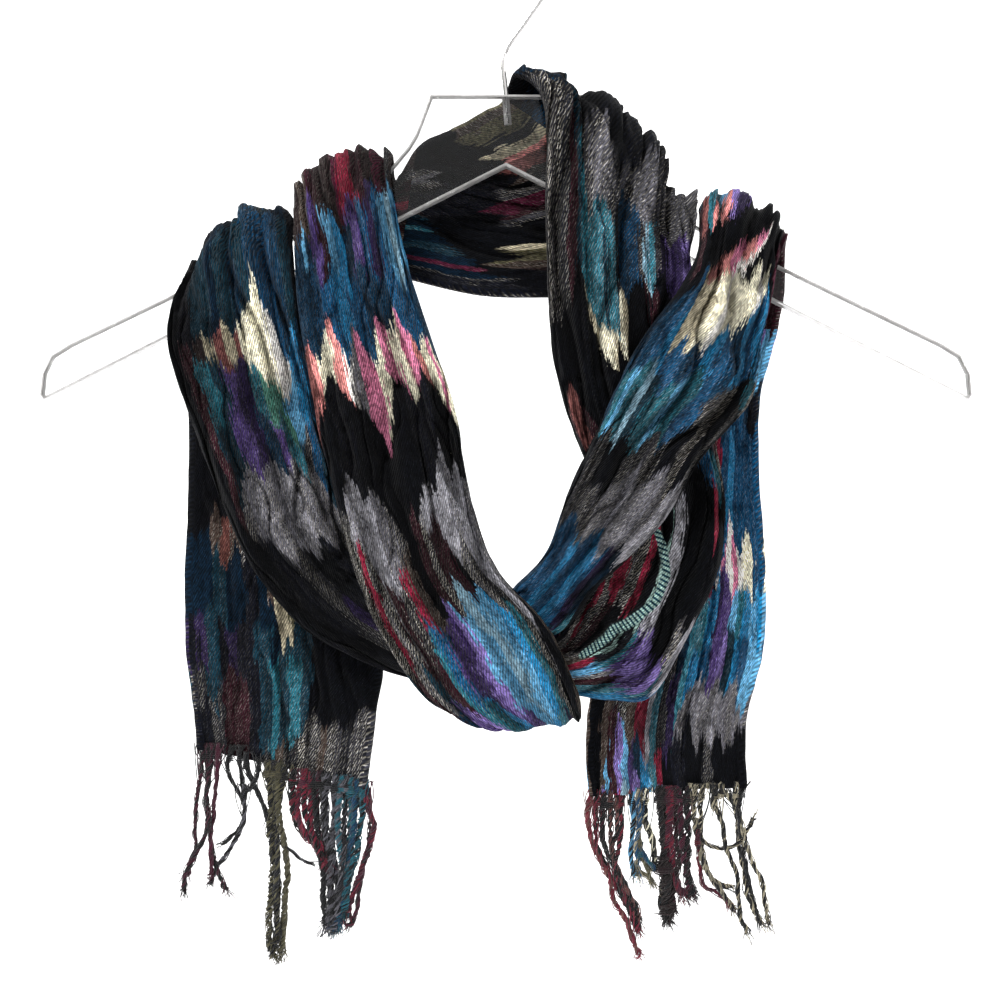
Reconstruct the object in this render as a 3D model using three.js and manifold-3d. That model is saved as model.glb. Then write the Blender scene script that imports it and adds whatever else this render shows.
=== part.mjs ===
// A crinkled, fringed scarf draped over a clear flat hanger with a wire hook.
// Millimetres, +Z up, front towards -Y. The origin is where the hook's inside bears on its rail.
import * as THREE from 'three';
import { mergeVertices } from 'three/addons/utils/BufferGeometryUtils.js';
import Module from 'manifold-3d';

// ---- Driving dimensions -------------------------------------------------------------------

const CLEARANCE = 0.3;          // between pieces that meet
const SEAM = 0.56;              // between two stretches of the cloth

const HOOK = {
  wire: 3,                      // wire diameter
  radius: 22,                   // centreline radius of the bend
  tipAngle: 205,                // degrees, where the open end stops
  bendX: -1.9,                  // where the stem kinks towards the bend
  bendZ: -61.9,
  footX: 0.9,                   // the stem's end inside the plate
  footZ: -94.3,
};

const PLATE = {
  thickness: 8,
  bevel: 0.6,
  apexZ: -113.8,                // the lower edge's highest point, under the neck
  neckHalfWidth: 34.8,
  neckTopZ: -81.1,
  halfSpan: 215,
  tipZ: -221.5,
};

const CLOTH = {
  wall: 1.6,                    // the folded cloth, as one rigid wall
  rimShare: 0.08,               // share of a section's points that turn back along each long edge
  fullness: 0.6,                // of a section's crown: 1 is an ellipse, less is squarer
  across: 24,                   // facets across a section
  reach: 38,                    // longest facet along a route
  turn: 30,                     // degrees, most that a route turns from one facet to the next
};

// ---- Hanger -------------------------------------------------------------------------------

function plateOutline() {
  const { neckHalfWidth: neck, neckTopZ: top, halfSpan: span, tipZ: tip } = PLATE;
  // One side, from the neck's top corner round the arm's end and back along the lower edge.
  const side = [
    { x: neck, z: top },
    { x: neck + 6.9, z: top - 18.3 },
    { x: neck + 10.6, z: top - 24.3 },
    { x: neck + 24.5, z: top - 41 },
    { x: neck + 31, z: top - 49.8 },
    { x: span - 13.4, z: tip + 25.2 },
    { x: span - 5, z: tip + 20 },
    { x: span - 1, z: tip + 12 },
    { x: span, z: tip + 2 },
    { x: span - 1.4, z: tip },
    { x: span - 3.8, z: tip + 0.8 },
  ];
  const outline = [
    ...side.map((p) => new THREE.Vector2(p.x, p.z)),
    new THREE.Vector2(0, PLATE.apexZ),
    ...side.map((p) => new THREE.Vector2(-p.x, p.z)).reverse(),
  ];
  return new THREE.Shape(outline);
}

function plateGeometry() {
  const geometry = new THREE.ExtrudeGeometry(plateOutline(), {
    depth: PLATE.thickness - 2 * PLATE.bevel,
    bevelEnabled: true,
    bevelThickness: PLATE.bevel,
    bevelSize: PLATE.bevel,
    bevelOffset: -PLATE.bevel,
    bevelSegments: 1,
  });
  // The outline is drawn in X and Z, so the extrusion runs along -Y once it stands up.
  geometry.rotateX(Math.PI / 2);
  geometry.translate(0, PLATE.thickness / 2 - PLATE.bevel, 0);
  return geometry;
}

function hookRoute() {
  const centre = new THREE.Vector3(0, 0, HOOK.wire / 2 - HOOK.radius);
  const foot = new THREE.Vector3(HOOK.footX, 0, HOOK.footZ);
  const bend = new THREE.Vector3(HOOK.bendX, 0, HOOK.bendZ);
  // The straight above the kink meets the bend's circle at a tangent, on its right-hand side.
  const reach = centre.clone().sub(bend);
  const slant = Math.atan2(reach.z, reach.x) - Math.asin(HOOK.radius / reach.length());
  const start = slant - Math.PI / 2;
  const tip = THREE.MathUtils.degToRad(HOOK.tipAngle);
  const onArc = (angle) => new THREE.Vector3(Math.cos(angle), 0, Math.sin(angle))
    .multiplyScalar(HOOK.radius).add(centre);
  const tangent = onArc(start);
  const points = [foot, foot.clone().lerp(bend, 0.5), foot.clone().lerp(bend, 0.9)];
  [0.08, 0.5, 0.9].forEach((share) => points.push(bend.clone().lerp(tangent, share)));
  const arcSteps = 12;
  for (let i = 0; i <= arcSteps; i += 1) {
    points.push(onArc(THREE.MathUtils.lerp(start, tip, i / arcSteps)));
  }
  return new THREE.CatmullRomCurve3(points, false, 'centripetal');
}

function rodAlong(path, diameter, steps) {
  const curveSegments = 5;      // half the sides of the rod
  const section = new THREE.Shape();
  section.absarc(0, 0, diameter / 2, 0, 2 * Math.PI, false);
  return new THREE.ExtrudeGeometry(section, {
    extrudePath: path, steps, curveSegments, bevelEnabled: false,
  });
}

function stemHoleGeometry() {
  // The blind hole that the stem stands in: clear of the wire all round and below it.
  const bend = new THREE.Vector3(HOOK.bendX, 0, HOOK.bendZ);
  const foot = new THREE.Vector3(HOOK.footX, 0, HOOK.footZ);
  const down = foot.clone().sub(bend).normalize();
  const bottom = foot.clone().addScaledVector(down, CLEARANCE);
  const mouth = bend.clone().lerp(foot, 0.2);
  return rodAlong(new THREE.LineCurve3(bottom, mouth), HOOK.wire + 2 * CLEARANCE, 1);
}

// ---- Cloth --------------------------------------------------------------------------------

// Each row is a section of the scarf: its left edge l and right edge r, seen along the way that
// the route runs, how far the cloth between them crowns outwards, and how far its edges tuck in.
// The route goes up from the left end, over the left arm, through the loop, round the neck from
// behind, down over the left arm again and under the loop, where the second route takes over.
const ROUTE_FROM_LEFT = [
  { node: 'tail_left', l: [-144, 10, -385], r: [-66, 10, -403], crown: 3, tuck: 3 },
  { l: [-146, 10, -364], r: [-62, 10, -368], crown: 4, tuck: 3 },
  { l: [-149, 10, -339], r: [-59, 10, -347], crown: 4, tuck: 3 },
  { l: [-150, 10, -310], r: [-62, 10, -315], crown: 4, tuck: 3 },
  { l: [-148, 10, -268], r: [-73, 10, -270], crown: 5, tuck: 3 },
  { l: [-148, 10, -231], r: [-88, 10, -231], crown: 6, tuck: 3 },
  { node: 'loop_left_outer', l: [-151, 10, -198], r: [-97, 10, -191], crown: 9, tuck: 2 },
  { l: [-154, 12, -176], r: [-101, 12, -150], crown: 13, tuck: 1.5 },
  { l: [-142, 0, -162], r: [-99, 0, -139], crown: 17, tuck: 1 },
  { l: [-151, -12, -178], r: [-98, -12, -155], crown: 14, tuck: 1.5 },
  { l: [-153, -12, -197], r: [-95, -6, -186], crown: 12, tuck: 2 },
  { l: [-146, -12, -223], r: [-88, -2, -221], crown: 11, tuck: 1 },
  { l: [-135, -12, -252], r: [-81, -2, -253], crown: 10, tuck: 1 },
  { l: [-119, -11, -291], r: [-71, -4, -282], crown: 9, tuck: 2 },
  { l: [-94, -9, -324], r: [-52, -6, -303], crown: 8, tuck: 2 },
  { l: [-62, -8, -343], r: [-30, -6, -317], crown: 7, tuck: 2 },
  { node: 'loop_right_inner', l: [-30, -8, -352], r: [-12, -6, -327], crown: 7, tuck: 2 },
  { l: [2, -9, -357], r: [7, -7, -335], crown: 6, tuck: 2 },
  { l: [27, -9, -356], r: [24, -8, -332], crown: 6, tuck: 2 },
  { l: [48, -9, -359], r: [32, -8, -317], crown: 7, tuck: 2 },
  { l: [67, -11, -356], r: [36, -8, -303], crown: 9, tuck: 3 },
  { l: [84, -12, -325], r: [40, -9, -293], crown: 10, tuck: 3 },
  { l: [96, -12, -298], r: [42, -9, -278], crown: 10, tuck: 3 },
  { l: [99, -10, -268], r: [42, -9, -262], crown: 9, tuck: 3 },
  { l: [93, -9, -236], r: [35, -9, -245], crown: 9, tuck: 3 },
  { l: [87, -10, -204], r: [26, -10, -219], crown: 9, tuck: 4 },
  { l: [84, -11, -177], r: [21, -11, -187], crown: 10, tuck: 4 },
  { l: [83, -11, -160], r: [19, -11, -145], crown: 11, tuck: 3 },
  { l: [83, -12.5, -151], r: [18, -12.5, -89], crown: 14, tuck: 1.5 },
  { l: [85, 0, -133], r: [5, 0, -71], crown: 18, tuck: 1 },
  { node: 'neck_back', l: [84, 12.5, -147], r: [0, 12.5, -80], crown: 15, tuck: 1.5 },
  { l: [63, 12, -165], r: [-8, 12, -86], crown: 12, tuck: 3 },
  { l: [30, 13, -171], r: [-22, 13, -93], crown: 11, tuck: 3 },
  { l: [-8, 13, -171], r: [-32, 12, -98], crown: 10, tuck: 3 },
  { node: 'loop_left_inner', l: [-51, 12, -162], r: [-42, 12, -104], crown: 10, tuck: 2 },
  { l: [-94, 12, -153], r: [-52, 12, -119], crown: 13, tuck: 1.5 },
  { l: [-96, 0, -134], r: [-53, 0, -109], crown: 16, tuck: 1 },
  { l: [-95, -12.5, -155], r: [-53, -12, -126], crown: 13, tuck: 1.5 },
  { l: [-94, -12, -177], r: [-46, -12, -160], crown: 12, tuck: 4 },
  { l: [-90, -12, -204], r: [-35, -12, -195], crown: 12, tuck: 4 },
  { l: [-84, -13, -236], r: [-24, -13, -229], crown: 12, tuck: 4 },
  { l: [-75, -18, -273], r: [-17, -14, -267], crown: 12, tuck: 4 },
  { l: [-65, -22, -306], r: [-6, -19, -298], crown: 11, tuck: 3 },
  { l: [-50, -23, -337], r: [17, -24, -324], crown: 10, tuck: 3 },
  { l: [-30, -22, -361], r: [29, -24, -349], crown: 9, tuck: 3 },
  { l: [-6, -13, -365], r: [33, -13, -362], crown: 12, tuck: 2 },
  { l: [-5, 3, -361], r: [31, 3, -358], crown: 8, tuck: 2 },
  { l: [-3, 5, -339], r: [29, 5, -340], crown: 7, tuck: 2 },
  { l: [0, 3, -320], r: [25, 3, -318], crown: 6, tuck: 2 },
];

// The second route comes up behind the loop, crosses to the right arm and hangs behind it.
const ROUTE_TO_RIGHT = [
  { node: 'loop_right_outer', l: [18, -2, -326], r: [1, -2, -313], crown: 4, tuck: 1.5 },
  { l: [27, -16, -326], r: [5, -13, -308], crown: 5, tuck: 2 },
  { l: [41, -22, -306], r: [20, -20, -291], crown: 7, tuck: 3 },
  { l: [69, -26, -278], r: [30, -24, -261], crown: 9, tuck: 3 },
  { l: [87, -27, -248], r: [43, -27, -234], crown: 10, tuck: 4 },
  { l: [109, -22, -222], r: [61, -28, -198], crown: 11, tuck: 4 },
  { l: [115, -14, -191], r: [79, -24, -173], crown: 12, tuck: 3 },
  { l: [120, -12.5, -170], r: [88, -13, -155], crown: 13, tuck: 1.5 },
  { l: [127, 0, -151], r: [90, 0, -134], crown: 16, tuck: 1 },
  { l: [130, 12, -167], r: [92, 12, -150], crown: 13, tuck: 1.5 },
  { node: 'tail_right', l: [127, 11, -188], r: [87, 11, -188], crown: 8, tuck: 3 },
  { l: [119, 11, -219], r: [77, 11, -230], crown: 6, tuck: 3 },
  { l: [118, 11, -254], r: [68, 12, -273], crown: 5, tuck: 3 },
  { l: [121, 11, -306], r: [53, 13, -320], crown: 4, tuck: 3 },
  { l: [120, 11, -339], r: [42, 13, -353], crown: 4, tuck: 3 },
  { l: [112, 10, -372], r: [39, 11, -382], crown: 4, tuck: 3 },
  { l: [112, 10, -403], r: [40, 10, -407], crown: 3, tuck: 3 },
];

// A pleat is a trough in the crown: where it lies across the section (0 left edge, 1 right edge)
// at the first and at the last row that it reaches, and its depth and half-width.
const PLEATS_FROM_LEFT = [
  { from: -1, to: 7.5, at: 0.3, end: 0.28, depth: 4, width: 0.05 },
  { from: -1, to: 8, at: 0.49, end: 0.46, depth: 5, width: 0.055 },
  { from: -1, to: 7, at: 0.68, end: 0.64, depth: 4.5, width: 0.05 },
  { from: 6.5, to: 9.8, at: 0.22, end: 0.22, depth: 5, width: 0.06 },
  { from: 9, to: 16, at: 0.32, end: 0.38, depth: 4, width: 0.05 },
  { from: 7.5, to: 17.5, at: 0.48, end: 0.54, depth: 4.5, width: 0.055 },
  { from: 7, to: 15, at: 0.66, end: 0.7, depth: 4, width: 0.05 },
  { from: 18, to: 24.5, at: 0.3, end: 0.38, depth: 6, width: 0.08 },
  { from: 18, to: 24, at: 0.56, end: 0.6, depth: 3.5, width: 0.045 },
  { from: 17.5, to: 25, at: 0.72, end: 0.75, depth: 3, width: 0.05 },
  { from: 23, to: 27.5, at: 0.26, end: 0.3, depth: 4, width: 0.05 },
  { from: 26.5, to: 31.5, at: 0.3, end: 0.3, depth: 8.5, width: 0.08 },
  { from: 23.5, to: 30, at: 0.46, end: 0.5, depth: 4, width: 0.045 },
  { from: 24, to: 32, at: 0.62, end: 0.66, depth: 4.5, width: 0.05 },
  { from: 24.5, to: 31, at: 0.76, end: 0.79, depth: 4, width: 0.05 },
  { from: 30.5, to: 36, at: 0.3, end: 0.34, depth: 4, width: 0.055 },
  { from: 30.5, to: 36.5, at: 0.5, end: 0.52, depth: 4.5, width: 0.055 },
  { from: 34, to: 38.5, at: 0.76, end: 0.76, depth: 6, width: 0.09 },
  { from: 35, to: 46, at: 0.3, end: 0.32, depth: 4, width: 0.05 },
  { from: 35.5, to: 45, at: 0.46, end: 0.48, depth: 5, width: 0.05 },
  { from: 37, to: 46, at: 0.63, end: 0.62, depth: 4, width: 0.045 },
  { from: 37.5, to: 47.5, at: 0.76, end: 0.76, depth: 5, width: 0.05 },
];

const PLEATS_TO_RIGHT = [
  { from: 0, to: 8, at: 0.32, end: 0.28, depth: 4, width: 0.05 },
  { from: 0.5, to: 10, at: 0.5, end: 0.48, depth: 4.5, width: 0.055 },
  { from: 0, to: 9, at: 0.7, end: 0.68, depth: 4, width: 0.05 },
  { from: 8.5, to: 18, at: 0.28, end: 0.26, depth: 4, width: 0.05 },
  { from: 9, to: 18, at: 0.44, end: 0.47, depth: 4.5, width: 0.055 },
  { from: 9.5, to: 18, at: 0.62, end: 0.65, depth: 5, width: 0.055 },
];

// The knotted strands of each end, hank by hank, as the plain solid of their reach: each level
// from the hem down has its two ends in X and Z, where it lies in Y and how deep it is.
const FRINGE = [
  { node: 'fringe_left_1', l: [-143.2, -385.6], r: [-120.7, -390.8], y: 10, depth: 5 },
  { l: [-145.1, -414.6], r: [-122.1, -418.4], y: 10, depth: 6 },
  { l: [-150.3, -442.8], r: [-130.5, -446.5], y: 10, depth: 6 },
  { l: [-151.2, -454.1], r: [-132.4, -455.5], y: 10, depth: 4 },
  { node: 'fringe_left_2', l: [-114.1, -392.3], r: [-101.9, -395.2], y: 10, depth: 5 },
  { l: [-114.1, -418.4], r: [-102.4, -420.3], y: 10, depth: 7 },
  { l: [-113.6, -455.9], r: [-102.8, -455.9], y: 10, depth: 7 },
  { l: [-111.7, -483.2], r: [-103.3, -484.1], y: 10, depth: 4 },
  { node: 'fringe_left_3', l: [-100.0, -395.6], r: [-66.7, -403.3], y: 10, depth: 5 },
  { l: [-99.1, -421.2], r: [-63.4, -423.1], y: 10, depth: 7 },
  { l: [-91.1, -442.8], r: [-63.4, -444.7], y: 10, depth: 7 },
  { l: [-86.4, -471.9], r: [-73.2, -472.8], y: 10, depth: 4 },
  { node: 'fringe_right_1', l: [40.9, -407.3], r: [57.3, -406.4], y: 10, depth: 5 },
  { l: [40.4, -432.5], r: [61.1, -432.5], y: 10, depth: 7 },
  { l: [47.0, -455.9], r: [66.7, -455.9], y: 10, depth: 7 },
  { l: [57.3, -480.4], r: [64.8, -481.3], y: 10, depth: 4 },
  { node: 'fringe_right_2', l: [58.7, -406.3], r: [70.5, -405.7], y: 10, depth: 5 },
  { l: [62.9, -432.5], r: [72.8, -432.5], y: 10, depth: 6 },
  { l: [68.1, -457.3], r: [73.3, -457.3], y: 10, depth: 4 },
  { node: 'fringe_right_3', l: [71.9, -405.6], r: [88.3, -404.7], y: 10, depth: 5 },
  { l: [74.2, -432.5], r: [92.1, -432.5], y: 10, depth: 7 },
  { l: [74.7, -454.1], r: [92.1, -454.1], y: 10, depth: 6 },
  { l: [74.2, -468.1], r: [82.7, -468.1], y: 10, depth: 4 },
  { node: 'fringe_right_4', l: [90.2, -404.6], r: [111.3, -403.4], y: 10, depth: 5 },
  { l: [93.9, -428.7], r: [116.5, -426.8], y: 10, depth: 6 },
  { l: [101.5, -452.2], r: [122.1, -450.3], y: 10, depth: 6 },
  { l: [112.7, -472.8], r: [128.7, -473.8], y: 10, depth: 4 },
];

// The mean dyed colour of each stretch and hank.
const COLOURS = {
  tail_left: 0x27373f,
  loop_left_outer: 0x2c4654,
  loop_right_inner: 0x4a474d,
  neck_back: 0x3f3a39,
  loop_left_inner: 0x3f5868,
  loop_right_outer: 0x3c6177,
  tail_right: 0x4b6b80,
  fringe_left_1: 0x4f4c4a,
  fringe_left_2: 0x5e6158,
  fringe_left_3: 0x474a55,
  fringe_right_1: 0x4f4045,
  fringe_right_2: 0x8b9597,
  fringe_right_3: 0x463a3d,
  fringe_right_4: 0x7c7a78,
};

const vector = (list) => new THREE.Vector3(...list);

class Route {
  constructor(rows, pleats) {
    this.rows = rows;
    this.pleats = pleats;
    this.last = rows.length - 1;
  }

  // Catmull-Rom between the rows, for any of their values.
  blend(pick, s) {
    const i = Math.min(Math.max(Math.floor(s), 0), this.last - 1);
    const t = s - i;
    const at = (k) => pick(this.rows[Math.min(Math.max(k, 0), this.last)]);
    const [a, b, c, d] = [at(i - 1), at(i), at(i + 1), at(i + 2)];
    return b + 0.5 * t * (c - a + t * (2 * a - 5 * b + 4 * c - d + t * (3 * (b - c) + d - a)));
  }

  edge(side, s) {
    return vector([0, 1, 2].map((axis) => this.blend((row) => row[side][axis], s)));
  }

  middle(s) {
    return this.edge('l', s).lerp(this.edge('r', s), 0.5);
  }

  // The section at s: its left edge, the way across it and the way out of it.
  section(s) {
    const step = 0.02;
    const left = this.edge('l', s);
    const across = this.edge('r', s).sub(left);
    const along = this.middle(s + step).sub(this.middle(s - step));
    const out = along.cross(across).normalize();
    return { left, across, out };
  }

  pleatDepth(s, u) {
    let depth = 0;
    this.pleats.forEach((pleat) => {
      const share = (s - pleat.from) / (pleat.to - pleat.from);
      if (share <= 0 || share >= 1) return;
      const centre = THREE.MathUtils.lerp(pleat.at, pleat.end, share);
      const fade = Math.min(1, 4 * share, 4 * (1 - share));
      depth += pleat.depth * fade * Math.exp(-(((u - centre) / pleat.width) ** 2));
    });
    return depth;
  }

  // The middle of the cloth wall at s along the route and u across it.
  point(s, u) {
    const { left, across, out } = this.section(s);
    const crown = this.blend((row) => row.crown, s);
    const tuck = this.blend((row) => row.tuck, s);
    const width = across.length();
    const rim = CLOTH.rimShare;
    const turned = Math.max(rim - u, u - (1 - rim), 0) / rim;
    let share = u < 0.5 ? 0 : 1;
    let height = 0;
    if (turned > 0) {
      const inward = tuck * (1 - Math.cos(turned * Math.PI / 2)) / width;
      share += u < 0.5 ? inward : -inward;
      height = -tuck * Math.sin(turned * Math.PI / 2);
    } else {
      const angle = Math.PI * ((u - rim) / (1 - 2 * rim) - 0.5);
      share = 0.5 + 0.5 * Math.sin(angle);
      height = crown * Math.max(Math.cos(angle), 0) ** CLOTH.fullness - this.pleatDepth(s, u);
    }
    return left.addScaledVector(across, share).addScaledVector(out, height);
  }

  // Where the facets' ends lie from one place to another: closer where the route bends.
  stations(from, to) {
    const places = [from];
    for (let s = from; s < to;) {
      const next = Math.min(Math.floor(s + 1 + 1e-6), to);
      const run = this.middle(s).distanceTo(this.middle(next));
      const turn = THREE.MathUtils.radToDeg(this.section(s).out.angleTo(this.section(next).out));
      const steps = Math.max(1, Math.ceil(run / CLOTH.reach), Math.ceil(turn / CLOTH.turn));
      for (let k = 1; k <= steps; k += 1) {
        places.push(THREE.MathUtils.lerp(s, next, k / steps));
      }
      s = next;
    }
    return places;
  }

  // Half the seam between two stretches, as a step along the route at s.
  halfGap(s) {
    const step = 0.05;
    const { across, out } = this.section(s);
    const facing = across.cross(out).normalize();
    const speeds = ['l', 'r'].map((side) => (
      Math.abs(this.edge(side, s + step).sub(this.edge(side, s - step)).dot(facing)) / (2 * step)));
    return SEAM / 2 / Math.min(...speeds);
  }

  normal(s, u) {
    const du = 0.01;
    const ds = 0.02;
    const across = this.point(s, Math.min(u + du, 1)).sub(this.point(s, Math.max(u - du, 0)));
    const along = this.point(s + ds, u).sub(this.point(s - ds, u));
    return along.cross(across).normalize();
  }
}

// A closed wall round the route's middle surface, from row `from` to row `to`.
function wallGeometry(route, from, to) {
  const stations = route.stations(from, to);
  const rows = stations.length - 1;
  const columns = CLOTH.across;
  const positions = [];
  const add = (point) => positions.push(point.x, point.y, point.z) / 3 - 1;
  const outer = [];
  const inner = [];
  for (let i = 0; i <= rows; i += 1) {
    const s = stations[i];
    outer.push([]);
    inner.push([]);
    for (let j = 0; j <= columns; j += 1) {
      const u = j / columns;
      const point = route.point(s, u);
      const offset = route.normal(s, u).multiplyScalar(CLOTH.wall / 2);
      outer[i].push(add(point.clone().add(offset)));
      inner[i].push(add(point.clone().sub(offset)));
    }
  }
  const faces = [];
  const quad = (a, b, c, d) => faces.push(a, b, c, a, c, d);
  for (let i = 0; i < rows; i += 1) {
    for (let j = 0; j < columns; j += 1) {
      quad(outer[i][j], outer[i + 1][j], outer[i + 1][j + 1], outer[i][j + 1]);
      quad(inner[i][j], inner[i][j + 1], inner[i + 1][j + 1], inner[i + 1][j]);
    }
    quad(outer[i][0], inner[i][0], inner[i + 1][0], outer[i + 1][0]);
    quad(outer[i][columns], outer[i + 1][columns], inner[i + 1][columns], inner[i][columns]);
  }
  for (let j = 0; j < columns; j += 1) {
    quad(outer[0][j], outer[0][j + 1], inner[0][j + 1], inner[0][j]);
    quad(outer[rows][j], inner[rows][j], inner[rows][j + 1], outer[rows][j + 1]);
  }
  const geometry = new THREE.BufferGeometry();
  geometry.setAttribute('position', new THREE.Float32BufferAttribute(positions, 3));
  geometry.setIndex(faces);
  return geometry;
}

// A closed flat hank of strands: a four-sided loft through its levels.
function fringeGeometry(levels) {
  const positions = [];
  levels.forEach(({ l, r, y, depth }) => {
    [[l, -1], [r, -1], [r, 1], [l, 1]].forEach(([place, side]) => {
      positions.push(place[0], y + side * depth / 2, place[1]);
    });
  });
  const faces = [];
  const quad = (a, b, c, d) => faces.push(a, b, c, a, c, d);
  const count = 4;
  quad(0, 1, 2, 3);
  levels.slice(1).forEach((level, i) => {
    const above = i * count;
    const below = above + count;
    for (let j = 0; j < count; j += 1) {
      const next = (j + 1) % count;
      quad(above + j, below + j, below + next, above + next);
    }
  });
  const bottom = (levels.length - 1) * count;
  quad(bottom + 3, bottom + 2, bottom + 1, bottom);
  const geometry = new THREE.BufferGeometry();
  geometry.setAttribute('position', new THREE.Float32BufferAttribute(positions, 3));
  geometry.setIndex(faces);
  return geometry;
}

// ---- Assembly -----------------------------------------------------------------------------

const wasm = await Module();
wasm.setup();

function solidOf(geometry) {
  const bare = new THREE.BufferGeometry();
  bare.setAttribute('position', geometry.getAttribute('position'));
  if (geometry.index) bare.setIndex(geometry.index);
  const merged = mergeVertices(bare, 1e-4);
  return new wasm.Manifold(new wasm.Mesh({
    numProp: 3,
    vertProperties: new Float32Array(merged.getAttribute('position').array),
    triVerts: new Uint32Array(merged.index.array),
  }));
}

function geometryOf(solid) {
  const mesh = solid.getMesh();
  const geometry = new THREE.BufferGeometry();
  geometry.setAttribute('position', new THREE.Float32BufferAttribute(mesh.vertProperties, 3));
  geometry.setIndex([...mesh.triVerts]);
  return geometry;
}

const object = new THREE.Group();

function addPiece(name, geometry, look) {
  geometry.computeVertexNormals();
  const piece = new THREE.Mesh(geometry, new THREE.MeshStandardMaterial(look));
  piece.name = name;
  object.add(piece);
}

addPiece('hanger', geometryOf(solidOf(plateGeometry()).subtract(solidOf(stemHoleGeometry()))),
  { color: 0xdfe6e8, roughness: 0.06, metalness: 0 });
addPiece('hook', rodAlong(hookRoute(), HOOK.wire, 48),
  { color: 0xb9bcbf, roughness: 0.2, metalness: 1 });

const clothLook = (node) => ({ color: COLOURS[node], roughness: 0.95, metalness: 0 });

function addFringe(rows) {
  const starts = rows.map((row, index) => (row.node ? index : -1)).filter((index) => index >= 0);
  starts.forEach((start, k) => {
    const levels = rows.slice(start, starts[k + 1] ?? rows.length);
    addPiece(levels[0].node, fringeGeometry(levels), clothLook(levels[0].node));
  });
}

function addStretches(rows, pleats) {
  const route = new Route(rows, pleats);
  const starts = rows.map((row, index) => (row.node ? index : -1)).filter((index) => index >= 0);
  starts.forEach((start, k) => {
    const end = starts[k + 1] ?? route.last;
    const from = start === 0 ? start : start + route.halfGap(start);
    const to = end === route.last ? end : end - route.halfGap(end);
    addPiece(rows[start].node, wallGeometry(route, from, to), clothLook(rows[start].node));
  });
}

addStretches(ROUTE_FROM_LEFT, PLEATS_FROM_LEFT);
addStretches(ROUTE_TO_RIGHT, PLEATS_TO_RIGHT);
addFringe(FRINGE);

export default object;
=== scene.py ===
"""A crinkled, fringed scarf draped over a clear flat hanger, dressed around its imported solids."""
import math

import bmesh
import bpy
import numpy as np
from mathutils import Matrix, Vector


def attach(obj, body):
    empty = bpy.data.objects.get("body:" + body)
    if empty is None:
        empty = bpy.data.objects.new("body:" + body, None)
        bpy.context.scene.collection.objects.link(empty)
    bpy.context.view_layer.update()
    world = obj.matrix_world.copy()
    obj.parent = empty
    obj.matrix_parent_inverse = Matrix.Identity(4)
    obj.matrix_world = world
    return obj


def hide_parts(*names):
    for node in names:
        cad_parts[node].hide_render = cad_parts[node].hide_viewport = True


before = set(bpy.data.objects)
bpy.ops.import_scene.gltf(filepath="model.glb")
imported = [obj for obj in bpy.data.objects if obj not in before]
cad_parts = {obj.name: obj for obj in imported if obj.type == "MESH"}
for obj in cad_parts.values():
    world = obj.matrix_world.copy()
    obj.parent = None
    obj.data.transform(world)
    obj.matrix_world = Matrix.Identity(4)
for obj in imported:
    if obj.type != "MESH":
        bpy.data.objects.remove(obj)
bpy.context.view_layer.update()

MM = 0.001

# ---- Camera, light and floor ----------------------------------------------------------------

CAMERA = {"x": -2.8 * MM, "distance": 750 * MM, "z": -268.1 * MM, "field": 463.4 * MM}
SENSOR = 36           # mm
CLIP = (0.05, 20)     # m, the nearest and the farthest that the camera sees
FLOOR_Z = -640 * MM
PAPER = (0.93, 0.93, 0.93, 1)
ROOM_LIGHT = 0.3

# Each lamp: where it stands, where it points, how wide it is, and its power.
LAMPS = [
    {"name": "key", "at": (-0.9, -1.3, 1.0), "to": (0, 0, -0.25), "size": 0.5, "watts": 31},
    {"name": "fill", "at": (1.2, -1.1, 0.2), "to": (0, 0, -0.28), "size": 1.2, "watts": 4.5},
    {"name": "top", "at": (-0.2, 0.1, 1.1), "to": (0, 0, -0.2), "size": 0.9, "watts": 7},
    {"name": "rim", "at": (0.7, 1.2, 0.5), "to": (0, 0, -0.25), "size": 1.0, "watts": 7},
    {"name": "wall_left", "at": (-1.6, 0.7, 0.6), "to": (-0.6, 2.2, -0.2), "size": 1.2,
     "watts": 45},
    {"name": "wall_right", "at": (1.6, 0.7, 0.6), "to": (0.6, 2.2, -0.2), "size": 1.2,
     "watts": 45},
]


def place(obj):
    bpy.context.collection.objects.link(obj)
    return obj


def piece(name, mesh, node):
    """A piece of the visible model that stands for a CAD node."""
    obj = place(bpy.data.objects.new(name, mesh))
    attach(obj, "root")
    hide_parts(node)
    return obj


def add_camera():
    data = bpy.data.cameras.new("camera")
    data.sensor_width = SENSOR
    data.lens = SENSOR * CAMERA["distance"] / CAMERA["field"]
    data.clip_start, data.clip_end = CLIP
    camera = place(bpy.data.objects.new("camera", data))
    camera.location = (CAMERA["x"], -CAMERA["distance"], CAMERA["z"])
    camera.rotation_euler = (math.pi / 2, 0, 0)
    bpy.context.scene.camera = camera


def add_lamps():
    for lamp in LAMPS:
        data = bpy.data.lights.new(lamp["name"], "AREA")
        data.size = lamp["size"]
        data.energy = lamp["watts"]
        light = place(bpy.data.objects.new(lamp["name"], data))
        light.location = lamp["at"]
        way = Vector(lamp["to"]) - light.location
        light.rotation_euler = way.to_track_quat("-Z", "Y").to_euler()
    world = bpy.data.worlds.new("room")
    world.use_nodes = True
    background = world.node_tree.nodes["Background"]
    background.inputs["Color"].default_value = (1, 1, 1, 1)
    background.inputs["Strength"].default_value = ROOM_LIGHT
    bpy.context.scene.world = world
    bpy.context.scene.view_settings.view_transform = "Standard"


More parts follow.
